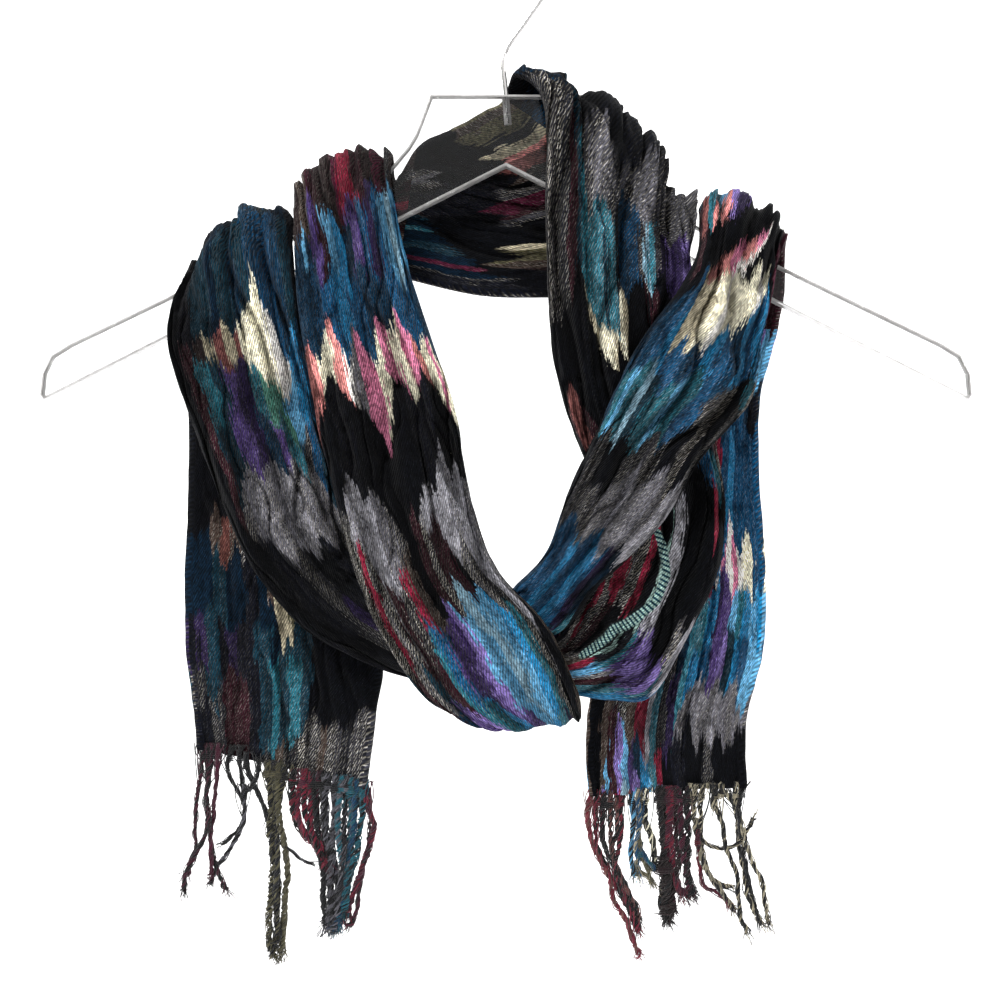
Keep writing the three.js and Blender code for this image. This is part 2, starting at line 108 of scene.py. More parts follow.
def add_backdrop():
    """A pale floor that sweeps up into a wall far behind, as one smooth sheet."""
    half, front, wall, bend, top, steps = 5.0, -3.0, 2.2, 0.9, 4.0, 16
    section = [(front, FLOOR_Z), (wall - bend, FLOOR_Z)]
    for i in range(1, steps):
        angle = i / steps * math.pi / 2
        y, z = bend * math.sin(angle), bend * (1 - math.cos(angle))
        section.append((wall - bend + y, FLOOR_Z + z))
    section.append((wall, top))
    points = [(side * half, y, z) for y, z in section for side in (-1, 1)]
    faces = [(2 * i, 2 * i + 1, 2 * i + 3, 2 * i + 2) for i in range(len(section) - 1)]
    mesh = bpy.data.meshes.new("backdrop")
    mesh.from_pydata(points, [], faces)
    mesh.polygons.foreach_set("use_smooth", [True] * len(faces))
    backdrop = place(bpy.data.objects.new("backdrop", mesh))
    paper = bpy.data.materials.new("backdrop")
    paper.use_nodes = True
    shader = paper.node_tree.nodes["Principled BSDF"]
    shader.inputs["Base Color"].default_value = PAPER
    shader.inputs["Roughness"].default_value = 0.9
    mesh.materials.append(paper)


# ---- Helpers --------------------------------------------------------------------------------

def noise(a, b, seed):
    """Smooth noise between -1 and 1 over a plane, from random values at its whole numbers."""
    size = 256
    values = np.random.default_rng(seed).uniform(-1, 1, (size, size))
    a, b = np.broadcast_arrays(a, b)
    i, j = np.floor(a).astype(int), np.floor(b).astype(int)
    ease = lambda t: t * t * t * (t * (6 * t - 15) + 10)
    x, y = ease(a - i), ease(b - j)
    at = lambda di, dj: values[(i + di) % size, (j + dj) % size]
    low = at(0, 0) * (1 - x) + at(1, 0) * x
    high = at(0, 1) * (1 - x) + at(1, 1) * x
    return low * (1 - y) + high * y


def unit(vectors):
    return vectors / np.linalg.norm(vectors, axis=-1, keepdims=True)


def catmull_rom(values, s):
    """A smooth curve through the values, at the places s, counted in values."""
    last = len(values) - 1
    i = np.clip(np.floor(s).astype(int), 0, last - 1)
    t = (s - i)[:, None]
    a, b, c, d = (values[np.clip(i + k, 0, last)] for k in (-1, 0, 1, 2))
    return b + 0.5 * t * (c - a + t * (2 * a - 5 * b + 4 * c - d + t * (3 * (b - c) + d - a)))


def run_along(points):
    """How far along them each of a row of points lies."""
    return np.concatenate([[0], np.cumsum(np.linalg.norm(np.diff(points, axis=0), axis=1))])


def chart(text, whole=1):
    """Pairs from a short chart: place and value in turn. The places are parts of the whole."""
    words = text.split()
    return [(float(a) / whole, b) for a, b in zip(words[::2], words[1::2])]


def mesh_from(name, points, faces):
    """A smooth mesh from points in millimetres and quads."""
    mesh = bpy.data.meshes.new(name)
    mesh.vertices.add(len(points))
    mesh.vertices.foreach_set("co", (points * MM).reshape(-1))
    mesh.loops.add(faces.size)
    mesh.loops.foreach_set("vertex_index", faces.reshape(-1))
    mesh.polygons.add(len(faces))
    mesh.polygons.foreach_set("loop_start", np.arange(0, faces.size, 4))
    mesh.polygons.foreach_set("use_smooth", np.ones(len(faces), bool))
    mesh.update(calc_edges=True)
    return mesh


# ---- Dyes, and the graph of a material ------------------------------------------------------

# Each dyed yarn: its colour, and how far black and white plies show in it.
YARNS = {
    "black": ("05060a", 0.0), "ink": ("090b14", 0.04), "navy": ("061725", 0.0),
    "charcoal": ("18191f", 0.3), "pepper": ("201f24", 0.85), "smoke": ("303037", 0.6),
    "grey": ("64636b", 0.5), "pale": ("86858e", 0.45), "silver": ("aeadb6", 0.35),
    "ash": ("58575d", 0.9), "umber": ("42352f", 0.3), "rust": ("5e3833", 0.05),
    "maroon": ("2a0d17", 0.12), "wine": ("461128", 0.1), "crimson": ("7a1730", 0.1),
    "brown": ("221718", 0.12), "rosewood": ("754845", 0.0), "coral": ("d08480", 0.0),
    "pink": ("d07b9a", 0.0), "cream": ("ece6cc", 0.0), "white": ("eeeae4", 0.0),
    "sand": ("a9a088", 0.0), "olive": ("5b5741", 0.1), "sage": ("7f9a93", 0.1),
    "deep": ("06293f", 0.08), "blue": ("0b4468", 0.16), "bright": ("1b7aab", 0.2),
    "light": ("5da0c8", 0.18), "ice": ("8fb6ca", 0.22), "lagoon": ("35788a", 0.35),
    "teal": ("1e5f6e", 0.22), "dark_teal": ("0a2a37", 0.08), "green": ("437769", 0.12),
    "purple": ("47366c", 0.16), "violet": ("241a3b", 0.08), "lilac": ("7a67a8", 0.16),
}


def dye(name, alpha=True):
    """A yarn's colour, linear, with its plies' share as the alpha."""
    code, plies = YARNS[name]
    parts = [int(code[i:i + 2], 16) / 255 for i in (0, 2, 4)]
    parts = [p / 12.92 if p <= 0.04045 else ((p + 0.055) / 1.055) ** 2.4 for p in parts]
    return (*parts, plies if alpha else 1.0)


class Graph:
    """A material's node tree, built by calls that return output sockets."""

    def __init__(self, name, constants):
        self.material = bpy.data.materials.new(name)
        self.material.use_nodes = True
        self.tree = self.material.node_tree
        self.shader = self.tree.nodes["Principled BSDF"]
        for key, value in constants.items():
            self.shader.inputs[key].default_value = value

    def add(self, kind, inputs=None, output=0, **settings):
        node = self.tree.nodes.new("ShaderNode" + kind)
        for key, value in settings.items():
            setattr(node, key, value)
        for key, value in (inputs or {}).items():
            self.feed(node.inputs[key], value)
        return node.outputs[output]

    def feed(self, socket, value):
        if isinstance(value, bpy.types.NodeSocket):
            self.tree.links.new(value, socket)
        else:
            socket.default_value = value

    def math(self, operation, *values):
        return self.add("Math", dict(enumerate(values)), operation=operation)

    def plus(self, a, b):
        return self.math("ADD", a, b)

    def times(self, a, b):
        return self.math("MULTIPLY", a, b)

    def over(self, a, b):
        return self.math("DIVIDE", a, b)

    def centred(self, value, span):
        """A value between 0 and 1, spread over span on both sides of 0."""
        return self.times(self.math("SUBTRACT", value, 0.5), span)

    def wave(self, value, period=1):
        """A sine between 0 and 1."""
        sine = self.math("SINE", self.times(value, 2 * math.pi / period))
        return self.math("MULTIPLY_ADD", sine, 0.5, 0.5)

    def mix(self, share, a, b, blend="MIX"):
        return self.add("Mix", {0: share, 6: a, 7: b}, 2, data_type="RGBA", blend_type=blend)

    def blend(self, share, a, b):
        return self.add("Mix", {0: share, 2: a, 3: b}, 0, data_type="FLOAT")

    def shade(self, colour, level):
        """A colour made darker or lighter."""
        grey = self.add("CombineColor", {0: level, 1: level, 2: level})
        return self.mix(1.0, colour, grey, "MULTIPLY")

    def remap(self, value, low, high, new_low, new_high):
        return self.add("MapRange", {0: value, 1: low, 2: high, 3: new_low, 4: new_high})

    def ramp(self, value, stops, interpolation="LINEAR"):
        """The colour and the alpha of a ramp through the stops."""
        node = self.add("ValToRGB", {0: value}).node
        node.color_ramp.interpolation = interpolation
        elements = node.color_ramp.elements
        while len(elements) > 1:
            elements.remove(elements[-1])
        elements[0].position, elements[0].color = stops[0]
        for position, colour in stops[1:]:
            elements.new(position).color = colour
        return node.outputs

    def noise(self, vector, scale=1.0, detail=2.0, rough=0.5):
        return self.add("TexNoise", {"Vector": vector, "Scale": scale, "Detail": detail,
                                     "Roughness": rough})

    def attribute(self, name, output="Fac"):
        return self.add("Attribute", output=output, attribute_name=name)

    def place(self):
        """Where a point lies on its object, in metres."""
        return self.add("TexCoord", output="Object")

    def finish(self, roughness, height, distance, strength, colour=None):
        if colour is not None:
            self.feed(self.shader.inputs["Base Color"], colour)
        self.feed(self.shader.inputs["Roughness"], roughness)
        normal = self.add("Bump", {"Height": height, "Distance": distance, "Strength": strength})
        self.feed(self.shader.inputs["Normal"], normal)
        return self.material


# ---- The flame-dyed weave -------------------------------------------------------------------

PITCH = 0.9           # mm from one warp thread to the next
PICK = 1.3            # mm from one weft thread to the next
WALE = (1.4, 2.3)     # mm from one twill wale to the next, across and along
RIB = 2.0             # mm from one rib of a selvage to the next
FEATHER = 1.2         # mm on both sides of a flame's edge where its dye fades

# The black and white plies that twist past each other, over the hundredths of a turn.
MARL = "0 black 42 ink 55 smoke 70 white 85 sand 100 black"

# Every stretch is dyed in bands, each laid over the one before it from its edge onwards. A band is
# two charts, with places in hundredths of the section's width from its left edge. Its edge gives
# the row where the band starts at each place: the flames. Its dyes give the yarn from each place
# to the next. The first band has no edge, and covers the stretch.
BANDS = {
    # The left tail hangs behind the front layers: its bands use darker yarns, painted shade from
    # the layers in front of it.
    "tail_left": """
    | 0 ink 7 charcoal 14 maroon 30 ink 36 charcoal 45 umber 52 charcoal 58 pepper 63 smoke 72
      umber 77 smoke 85 charcoal 90 smoke;
    0 .9 7 1.3 12 .5 18 .3 24 .5 30 .3 35 .1 40 .35 45 .15 50 .5 56 .35 62 .75 68 1 74 .7 80 .9 86
      .6 92 .9 100 1.1 | 0 charcoal 5 dark_teal 10 charcoal 13 maroon 30 ink 35 dark_teal 42 teal
      47 dark_teal 52 teal 59 dark_teal 65 black;
    0 1.6 6 1.9 10 1.3 15 1.5 20 1.8 28 1.5 33 1.9 38 2.1 45 1.8 50 2.2 58 1.9 64 2.2 100 2.2 | 0
      ink 3 violet 8 dark_teal 14 ink 18 violet 24 ink 33 dark_teal 44 navy 50 dark_teal 66 black;
    0 2.6 10 2.8 20 2.4 30 2.6 40 2.5 50 2.6 60 2.5 100 2.5 | 0 navy 12 dark_teal 20 navy 30 ink
      36 navy 50 dark_teal 66 ink;
    0 9 41 9 43 3 46 2.85 48 2.5 50 2 52 2.4 55 2.2 58 2.8 60 3 62 9 100 9 | 0 umber 46 sand 54
      olive 57 umber;
    0 9 8 9 10 3.6 12 3.4 15 3.5 18 3.3 20 3.22 23 3.42 27 3.55 31 3.35 34 3.6 36 9 100 9 | 0
      umber 17 rust 22 umber 29 smoke;
    0 3.6 6 3.7 10 3.75 14 3.95 19 3.8 24 3.98 30 3.75 36 3.5 100 3.4 | 0 black 40 ink 70 black""",
    "loop_left_outer": """
    | 0 black 20 ink 40 navy 60 dark_teal 68 navy 80 ink;
    0 8.5 30 8.3 40 8.6 50 8.2 60 8.1 70 8.2 80 8.4 100 8.5 | 0 black 24 ink 32 dark_teal 40 navy
      44 dark_teal 50 deep 54 dark_teal 58 deep 62 blue 70 deep 76 dark_teal 84 ink;
    0 11.4 20 11.2 25 10.6 30 10.2 35 9.85 40 10.1 45 9.8 50 10 55 9.75 60 9.2 65 9.8 70 10.5 75
      10.9 80 11.2 100 11.4 | 0 black 30 brown 35 sand 41 rosewood 45 sand 48 rosewood 51 cream 63
      white;
    0 9.8 28 10.1 34 10.45 40 10.3 45 10.7 49 10.3 54 10.55 60 10.75 66 11.05 70 10.6 75 10.1 82
      9.9 100 9.9 | 0 black 24 maroon 30 teal 36 dark_teal 41 purple 45 violet 52 teal 57 green 64
      light 70 bright 78 deep 84 black;
    0 12 30 11.6 36 11.3 42 11.1 46 11.4 50 11.1 56 11.5 60 11.3 66 11.8 72 11.4 80 11.2 100 11 |
      0 black 24 maroon 30 dark_teal 38 purple 46 violet 50 deep 56 purple 60 teal 66 smoke 70
      blue 76 dark_teal 84 black;
    0 13.2 25 12.8 30 12.5 34 12.2 40 12 44 12.2 50 11.9 56 12.15 60 11.95 66 12.2 70 12.05 75
      12.5 82 12.9 100 13.2 | 0 black 26 smoke 32 grey 50 pale 58 grey 80 charcoal;
    0 12.4 25 12.7 30 13 36 12.85 42 13.4 48 13.05 55 13.3 60 13 66 13.25 72 12.9 80 12.8 100 12.7
      | 0 black 30 ink 42 charcoal 50 black 60 ink 70 charcoal 78 black;
    0 15 30 14.3 40 14.6 50 13.9 60 14.2 70 13.9 100 14 | 0 ink 20 black 35 charcoal 45 violet 52
      ink 60 charcoal 68 maroon 74 pepper 80 black""",
    "loop_right_inner": """
    | 0 blue 14 bright 22 lagoon 30 maroon 36 ash 40 light 45 crimson 49 umber 53 ash 60 maroon 65
      ash 72 charcoal 78 black;
    0 19.5 10 19.8 20 19.4 30 19.3 40 19.2 45 19 50 18.7 60 18.4 100 18.3 | 0 bright 12 blue 18
      lagoon 22 lilac 28 purple 33 lilac 38 purple 42 teal 45 ink 48 sage 50 black 59 maroon 62
      ash 67 crimson 70 ash 78 ink 84 navy 92 black;
    0 20 8 20.3 16 20 24 20.4 32 20.2 38 20.5 44 20.4 50 20.3 56 20.5 62 20.3 70 20.6 80 20.2 100
      20 | 0 pale 10 silver 20 ash 26 black 38.5 silver 43 ink 44.5 sage 45.5 black 50 crimson 54
      ash 60 crimson 65 ash 70 ink 76 navy 90 black;
    0 21.1 8 20.8 14 21.1 20 20.8 25 21 30 20.7 33 21.4 36 22.2 40 23 50 23.2 60 22.9 100 23 | 0
      black 4 umber 8 black;
    0 30 3 30 5 22.5 9 22.3 11 30 19 30 20 22.4 22 22.1 24 22.4 25 30 100 30 | 0 maroon 15 crimson;
    0 23 10 23.3 20 23.1 30 23.4 60 23.6 66 24 72 23.8 78 23.9 84 24 88 24.9 94 26 100 27 | 0
      pepper 16 teal 22 blue 30 black 60 brown 68 maroon 74 rosewood 84 maroon 90 black;
    0 23.6 30 23.8 50 23.4 64 23.8 68 24.3 72 24.6 77 25.2 82 24.8 87 24.6 92 24.2 100 24 | 0 ink
      8 maroon 15 ink 35 maroon 40 black;
    0 30 46 30 48 25.9 50 25.2 52.5 25.5 55 25.05 58 25.4 61 25.7 64 26.3 66 30 100 30 | 0 sand 50
      cream 53 sand 55.5 cream 60 sand;
    0 26 12 26.05 24 26 30 26.05 32.5 26.6 36 26.4 38.5 26.1 41 26.5 44 26.4 48 26.1 50.5 26.3 52
      25.6 56 25.75 60 25.9 63 26.2 66 26.8 70 26.2 80 26 100 26 | 0 violet 10 purple 16 lilac 20
      purple 27 lilac 29.5 violet 32.5 smoke 35 lagoon 38 ice 40 smoke 42.5 blue 46 deep 49 ink 51
      lagoon 54 teal 55.5 dark_teal 57 lagoon 60 teal 64 dark_teal 66 maroon 70 charcoal 76 pepper
      86 charcoal 92 black;
    0 28 16 27.9 20 27.95 23 27.85 27 27.4 31 27.5 34 27.75 37 27.6 40 27.4 43 27.6 46 27.75 50
      27.5 52 27.35 55 27.5 58 27.5 61 27.25 64 27.6 66 28.6 70 30 100 30 | 0 grey 30 smoke 38
      grey 47 smoke 53 grey 60 smoke;
    0 29.1 20 29.1 25 29 30 28.85 33 28.75 36 28.65 40 28.45 42 28.5 45 28.2 48 28 50.5 27.85 52.5
      27.9 55 28.1 58 28.4 61 28.4 64 28.1 66 28 70 28.4 80 28.5 90 28.6 100 28.8 | 0 black 40 ink
      50 black 66 dark_teal 69 black 74 navy 80 deep 86 navy 92 black""",
    "neck_back": """
    | 0 black 8 brown 13 umber 18 olive 26 sand 30 black 42 smoke 46 maroon 50 wine 56 smoke 63
      black 66 umber 70 rosewood 76 coral 79 sand 83 ink 88 olive 96 umber;
    0 31.6 10 31.7 14 32.4 17 33 22 32.3 28 32.6 33 31.9 38 31.8 44 32.45 48 32.1 53 32.6 58 32 64
      32.1 68 31.4 73 31.75 78 31.5 82 32.1 86 31.6 90 31.9 95 32.4 100 32.3 | 0 black 50 ink 70
      black;
    0 34.5 66 34.4 69 33.6 72 33.25 76 33.6 80 33.3 84 33.8 88 34.4 100 34.5 | 0 black 66 smoke 74
      grey 80 smoke 88 black;
    0 32.4 5 32.7 15 33 30 33.35 45 33.65 55 33.9 60 34.3 65 34.5 100 35 | 0 ink 5 charcoal 8 navy
      12 wine 15 navy 22 dark_teal 27 navy 34 teal 38 navy 44 dark_teal 50 brown""",
    "loop_left_inner": """
    | 0 black 18 brown 26 umber 34 maroon 40 brown 50 wine 53 crimson 60 maroon 65 brown 70 wine
      75 maroon 80 charcoal 88 brown;
    0 37.1 12 36.9 20 37.2 26 36.9 32 37.1 35 36.3 38 36.5 41 37 45 36.9 50 37.2 56 36.9 62 37.1
      68 36.8 75 37.1 82 36.9 90 37.1 100 37 | 0 deep 26 light 30 deep 33 purple 37 maroon 40
      light 45 bright 48 deep 53 purple 58 blue 62 violet 67 blue 71 light 76 ice 80 light 86
      bright 93 deep;
    0 37.8 10 37.6 20 37.9 30 37.4 36 38 42 37.6 48 38.2 55 37.8 62 38.2 70 37.9 76 38.3 84 38 100
      38.2 | 0 deep 30 blue 41 bright 46 blue 54 deep 66 blue 80 deep 88 blue;
    0 39.3 10 38.9 20 38.85 27 39.15 35 38.4 41 39.2 46 38.7 52 39.3 57 38.5 61 38.9 66 38.55 74
      39.15 80 38.9 86 39.25 100 39.4 | 0 rosewood 20 coral 25 cream 33 coral 38 white 41 grey 45
      pink 51 cream 57 pink 61 cream 65 pink 70 coral 74 cream 80 pink 84 cream;
    0 40.4 10 40.2 20 39.8 31 39.3 39 39.7 43 39.8 49 40.35 57 39.45 64 39.75 71 39.4 79 39.8 86
      40.1 100 40.4 | 0 ink 14 black 26 ink 34 black 60 ink 70 black;
    0 41.3 20 41.1 27 40.5 33 40.95 38 40.75 44 41.3 50 41.8 55 41.1 60 40.8 64 40.9 70 40.35 74
      40.7 78 40.5 85 40.9 91 40.7 100 41 | 0 charcoal 20 pale 28 silver 36 grey 42 smoke 50 grey
      56 silver 68 pale 74 silver 80 grey;
    0 41.5 12 41.2 20 41.7 24 41.4 30 42 36 42.2 45 41.7 52 41.1 56 41.5 60 41.2 66 41.9 70 41.5
      76 42.3 84 42.6 92 42 100 42 | 0 ink 10 pepper 20 crimson 24 ash 30 maroon 33 pepper 38
      crimson 42 umber 46 black 50 maroon 54 ash 57 maroon 63 black 66 ash 70 charcoal 76 silver
      82 ash 86 black 93 pepper;
    0 43.6 10 43.2 18 43.5 26 43 30 43.4 36 43.2 40 42.6 45 42.9 50 42.4 54 42.7 58 42.1 62 42.5
      66 42.2 70 42.7 74 42.5 78 43 85 42.5 100 42.8 | 0 violet 10 dark_teal 16 maroon 22 ash 27
      dark_teal 32 maroon 36 teal 39 blue 43 purple 48 lilac 52 light 57 ice 61 light 65 bright 70
      teal 74 ash 78 black 86 umber 90 olive 93 crimson 96 ash;
    0 44.2 10 43.9 20 44.3 30 43.9 38 44.2 44 43.9 50 44.5 56 44.2 62 44.6 70 44.3 76 45 100 48 |
      0 teal 10 purple 20 deep 27 purple 33 lilac 38 teal 44 bright 50 purple 55 light 61 bright
      66 lagoon 72 violet""",
    "loop_right_outer": """
    | 0 black 20 teal 34 bright 42 teal 48 black 60 deep 72 navy;
    0 1.6 20 1.5 30 .9 40 .8 50 .6 60 .8 70 .6 100 .8 | 0 black 20 navy 30 violet 36 blue 42
      bright 48 blue 56 bright 62 blue 80 deep;
    0 2.5 10 2.5 20 2.3 30 2.6 40 2.3 50 2.6 60 2.3 70 2.7 80 2.4 90 2.6 100 2.4 | 0 ink 12 pale
      30 grey 44 pale 50 grey 60 smoke 70 charcoal 85 ink;
    0 3.4 12 3.3 20 3.6 28 3.3 36 3.7 44 3.3 50 3.6 60 3 70 3.1 80 2.8 100 3 | 0 black 16 charcoal
      22 black 28 pepper 33 black 42 smoke 50 charcoal 58 black 70 charcoal 80 black;
    0 4.9 10 4.6 20 4.9 30 4.5 38 4.3 45 3.9 50 4.1 57 3.7 62 4 68 3.7 74 4 80 3.8 90 4.1 100 4.2
      | 0 blue 10 pepper 16 teal 22 black 28 pepper 38 blue 46 teal 52 light 56 teal 62 dark_teal
      66 ice 69 teal 76 light 80 teal 86 deep;
    0 5 10 5.2 20 5.4 30 5.1 40 4.6 50 5 60 4.5 70 4.9 80 4.6 90 4.8 100 4.6 | 0 light 16 bright
      25 blue 30 bright 34 deep 40 blue 46 bright 50 blue 56 deep 60 blue 66 bright 70 blue 76
      deep 84 navy;
    0 9 22 9 25 6.6 28 6.3 31 6.35 35 6 40 5.8 43 5.55 46 5.75 50 5.4 53 5.15 56 5.35 60 5.1 63
      5.25 66 4.95 69 5.6 71 6.3 74 9 100 9 | 0 cream 30 white 34 cream 50 white 54 cream 60 sand;
    0 5.6 10 5.9 20 6.3 25 6.9 30 7 33 6.75 36 6.95 40 6.72 43 6.5 46 6.7 49 6.5 51 6.62 54 7 60 9
      70 9 76 5.9 84 5.7 100 5.6 | 0 maroon 12 wine 20 black;
    0 9 31 9 34 7.5 37 7.3 40 7.15 45 6.85 50 6.62 54 6.5 58 6.45 62 6.4 66 6.3 70 6.25 73 9 100 9
      | 0 white 52 sand 58 rosewood;
    0 9 33 9 35 7.5 38 7.32 42 7.18 46 7.02 50 6.9 54 6.75 58 6.6 62 6.5 66 6.35 70 6.3 73 9 100 9
      | 0 pink 42 coral 48 pink 54 coral 60 rosewood;
    0 9 28 8 31 7.4 34 7.62 37 7.55 42 7.45 46 7.36 50 7.3 54 7.12 58 6.98 62 6.82 66 6.65 70 6.45
      76 6.3 100 6 | 0 black 80 maroon 86 black;
    0 9 49 9 52 7.9 56 7.6 60 7.65 65 7.4 70 7.5 76 7.25 82 7.3 88 7.1 100 7 | 0 purple 55 violet
      60 lilac 64 coral 68 smoke 72 coral 76 teal 82 rosewood 88 maroon;
    0 9 58 9 62 7.95 70 7.8 80 7.85 90 7.9 100 8 | 0 teal 66 light 70 teal 78 dark_teal 84 teal 92
      dark_teal;
    0 8.4 40 8.8 60 8.9 80 8.7 100 8.8 | 0 maroon 20 wine 34 black 42 maroon 60 black 80 maroon""",
    "tail_right": """
    | 0 maroon 12 wine 20 black 30 maroon;
    0 10.1 6 9.9 12 10.1 20 10 30 10.2 100 10.1 | 0 light 7 lilac 13 purple 18 light 24 blue 40
      black;
    0 10.9 10 10.8 20 11 30 10.8 40 11 100 11 | 0 ink 5 deep 10 blue 30 deep 36 crimson 42 pepper
      52 teal 57 crimson 62 black;
    0 11.6 10 11.4 20 11.3 30 11.4 40 11.7 50 11.9 60 12 100 12 | 0 blue 20 bright 26 blue 33
      crimson 40 black 45 crimson 50 black;
    0 12.9 5 12.7 10 12.5 16 12.75 23 12.3 28 12.7 33 12.9 36 13.1 100 13.1 | 0 blue 4 cream 12
      white 17 pink 21 white 25 pink 29 white 32 black;
    0 13.1 6 13.25 10 13 15 13 20 13.15 27 12.7 33 13 42 13.1 50 13.4 60 13.2 100 13.3 | 0 bright
      3 light 7 bright 11 teal 15 light 20 purple 27 violet 30 bright 35 teal 40 lagoon 45 deep 50
      charcoal 57 violet 60 pepper 64 teal 69 silver 73 maroon 80 pepper 88 umber 95 black;
    0 13.9 10 13.8 20 13.5 26 13.9 32 13.7 38 13.9 44 13.6 50 14.2 60 14 70 14.4 80 14.1 90 14.5
      100 14.3 | 0 light 5 blue 10 bright 14 dark_teal 20 lilac 25 purple 30 blue 36 bright 42
      lagoon 46 violet 52 charcoal 57 lagoon 62 silver 65 crimson 72 umber 78 pepper 84 maroon 90
      umber 96 black;
    0 14.9 5 14.6 10 14.35 16 14.6 22 14.25 28 14.5 34 14.15 40 14.4 45 14.9 50 17 100 17 | 0 grey
      12 pale 22 grey 30 pale 36 grey;
    0 15 5 15.2 10 15.35 15 15.05 20 15.3 26 15.1 30 15.35 36 14.6 40 15.2 44 15 50 15.4 55 15.2
      60 15.3 65 15.5 70 14.9 76 15.2 80 14.8 84 14.6 88 15 94 15.5 100 16 | 0 black 18 charcoal
      24 black 36 ink 46 black 53 crimson 57 lagoon 62 bright 68 deep 73 purple 77 light 81 lilac
      85 maroon 90 light 93 umber 97 black;
    0 19 52 19 56 15.9 62 15.7 68 16 72 15.6 76 15.9 80 15.6 85 15.8 90 16.1 100 17 | 0 black 54
      light 65 bright 69 lilac 74 rosewood 78 ice 83 crimson 87 lilac""",
}


def flame_front(graph, u, edge, route, start):
    """How far along its stretch a band's edge lies, at a share u across it."""
    edge = [(at, float(route.along(float(row)) - route.along(start))) for at, row in edge]
    low = min(y for _, y in edge)
    high = max(y for _, y in edge) + 1e-3
    grey = [(at, ((y - low) / (high - low),) * 3 + (1,)) for at, y in edge]
    return graph.remap(graph.ramp(u, grey)[0], 0, 1, low, high)


def cloth_material(name, route, start):
    graph = Graph(name, {"Sheen Weight": 0.03, "Sheen Roughness": 0.5, "Specular IOR Level": 0.08})
    weave = graph.attribute("weave", "Vector")
    x, y, u = (graph.add("SeparateXYZ", {0: weave}, output=k) for k in range(3))
    scaled = lambda a, b, c=0.0: graph.add("CombineXYZ", {0: graph.times(x, a),
                                                         1: graph.times(y, b), 2: c})

    # The warp threads, and the twill's wales across them.
    thread = graph.math("FLOOR", graph.over(x, PITCH))
    each = graph.add("TexWhiteNoise", {"W": thread}, noise_dimensions="1D")
    pick = graph.math("FLOOR", graph.plus(graph.over(y, PICK), graph.times(each, 7.0)))
    crossing = graph.add("CombineXYZ", {0: thread, 1: pick})
    fleck = graph.add("TexWhiteNoise", {"Vector": crossing}, noise_dimensions="2D")
    slub = graph.noise(scaled(1.1, 0.16, 3.0))
    wale = graph.plus(graph.over(x, WALE[0]), graph.over(y, WALE[1]))
    wale = graph.plus(wale, graph.centred(graph.noise(scaled(0.3, 0.15, 5.0)), 0.7))
    ridge = graph.wave(wale)

    # The flames' edges are ragged, thread by thread, and the columns between dyes waver.
    slow = graph.noise(scaled(0.22, 0.03), detail=3)
    reach = graph.plus(y, graph.plus(graph.centred(each, 5.0), graph.centred(slow, 15.0)))
    reach = graph.plus(reach, graph.plus(graph.centred(slub, 5.0), graph.centred(fleck, 3.0)))
    waver = graph.noise(scaled(0.05, 0.05, 7.0))
    shaken = graph.plus(graph.centred(each, 0.022), graph.centred(slub, 0.02))
    column = graph.plus(u, graph.plus(graph.centred(waver, 0.09), shaken))

    for band in BANDS[name].split(";"):
        edge, dyes = (chart(half, 100) for half in band.split("|"))
        stops = [(at, dye(yarn)) for at, yarn in dyes]
        tint, share = graph.ramp(column, stops, "CONSTANT")
        if not edge:
            colour, plies = tint, share
            continue
        past = graph.math("SUBTRACT", reach, flame_front(graph, u, edge, route, start))
        mask = graph.remap(past, -FEATHER, FEATHER, 0, 1)
        colour = graph.mix(mask, colour, tint)
        plies = graph.blend(mask, plies, share)

    # Black and white plies twist past each other along the wales.
    twist = graph.math("FRACT", graph.plus(wale, graph.centred(fleck, 0.5)))
    marl = [(at, dye(yarn, False)) for at, yarn in chart(MARL, 100)]
    marl = graph.ramp(twist, marl)[0]
    some = graph.remap(each, 0.15, 0.35, 0.25, 1.0)
    colour = graph.mix(graph.times(graph.times(plies, some), 0.95), colour, marl)

    # The raised selvages are ribbed across.
    welt = graph.attribute("welt")
    rib = graph.wave(graph.plus(y, graph.centred(slub, 0.8)), RIB)
    ribbed = graph.mix(graph.remap(rib, 0.25, 0.6, 0, 1), dye("dark_teal"), dye("sage"))
    colour = graph.mix(graph.remap(welt, 0.5, 0.7, 0, 1), colour, ribbed)

    # Every thread takes the dye a little differently. The hollows of the weave and the creases of
    # the folds are painted darker as shade, and the folds' ridges get a painted highlight.
    worn = graph.noise(scaled(0.1, 0.045, 1.0), detail=4, rough=0.6)
    nap = graph.noise(scaled(2.4, 1.3, 2.0), detail=4, rough=0.7)
    level = graph.remap(slub, 0.3, 0.7, 0.78, 1.25)
    level = graph.times(level, graph.remap(worn, 0.3, 0.7, 0.72, 1.3))
    # Painted shade: darker in the hollows between the twill's wales, lighter on their tops.
    level = graph.times(level, graph.remap(ridge, 0, 1, 0.48, 1.42))
    level = graph.times(level, graph.remap(fleck, 0, 1, 0.52, 1.62))
    level = graph.times(level, graph.remap(nap, 0.3, 0.7, 0.85, 1.18))
    # Painted shade in the folds' creases and a painted highlight on their ridges, from the fold
    # depth in the crease attribute.
    level = graph.times(level, graph.remap(graph.attribute("crease"), -0.4, 3.4, 1.2, 0.5))
    colour = graph.shade(colour, level)

    height = graph.plus(graph.times(ridge, 0.55), graph.times(nap, 0.7))
    height = graph.plus(height, graph.plus(graph.times(slub, 0.6), graph.times(fleck, 0.4)))
    height = graph.plus(height, graph.times(graph.times(rib, welt), 1.6))
    roughness = graph.remap(nap, 0.3, 0.7, 0.84, 0.99)
    return graph.finish(roughness, height, distance=0.6 * MM, strength=0.8, colour=colour)


# ---- The fringe -----------------------------------------------------------------------------

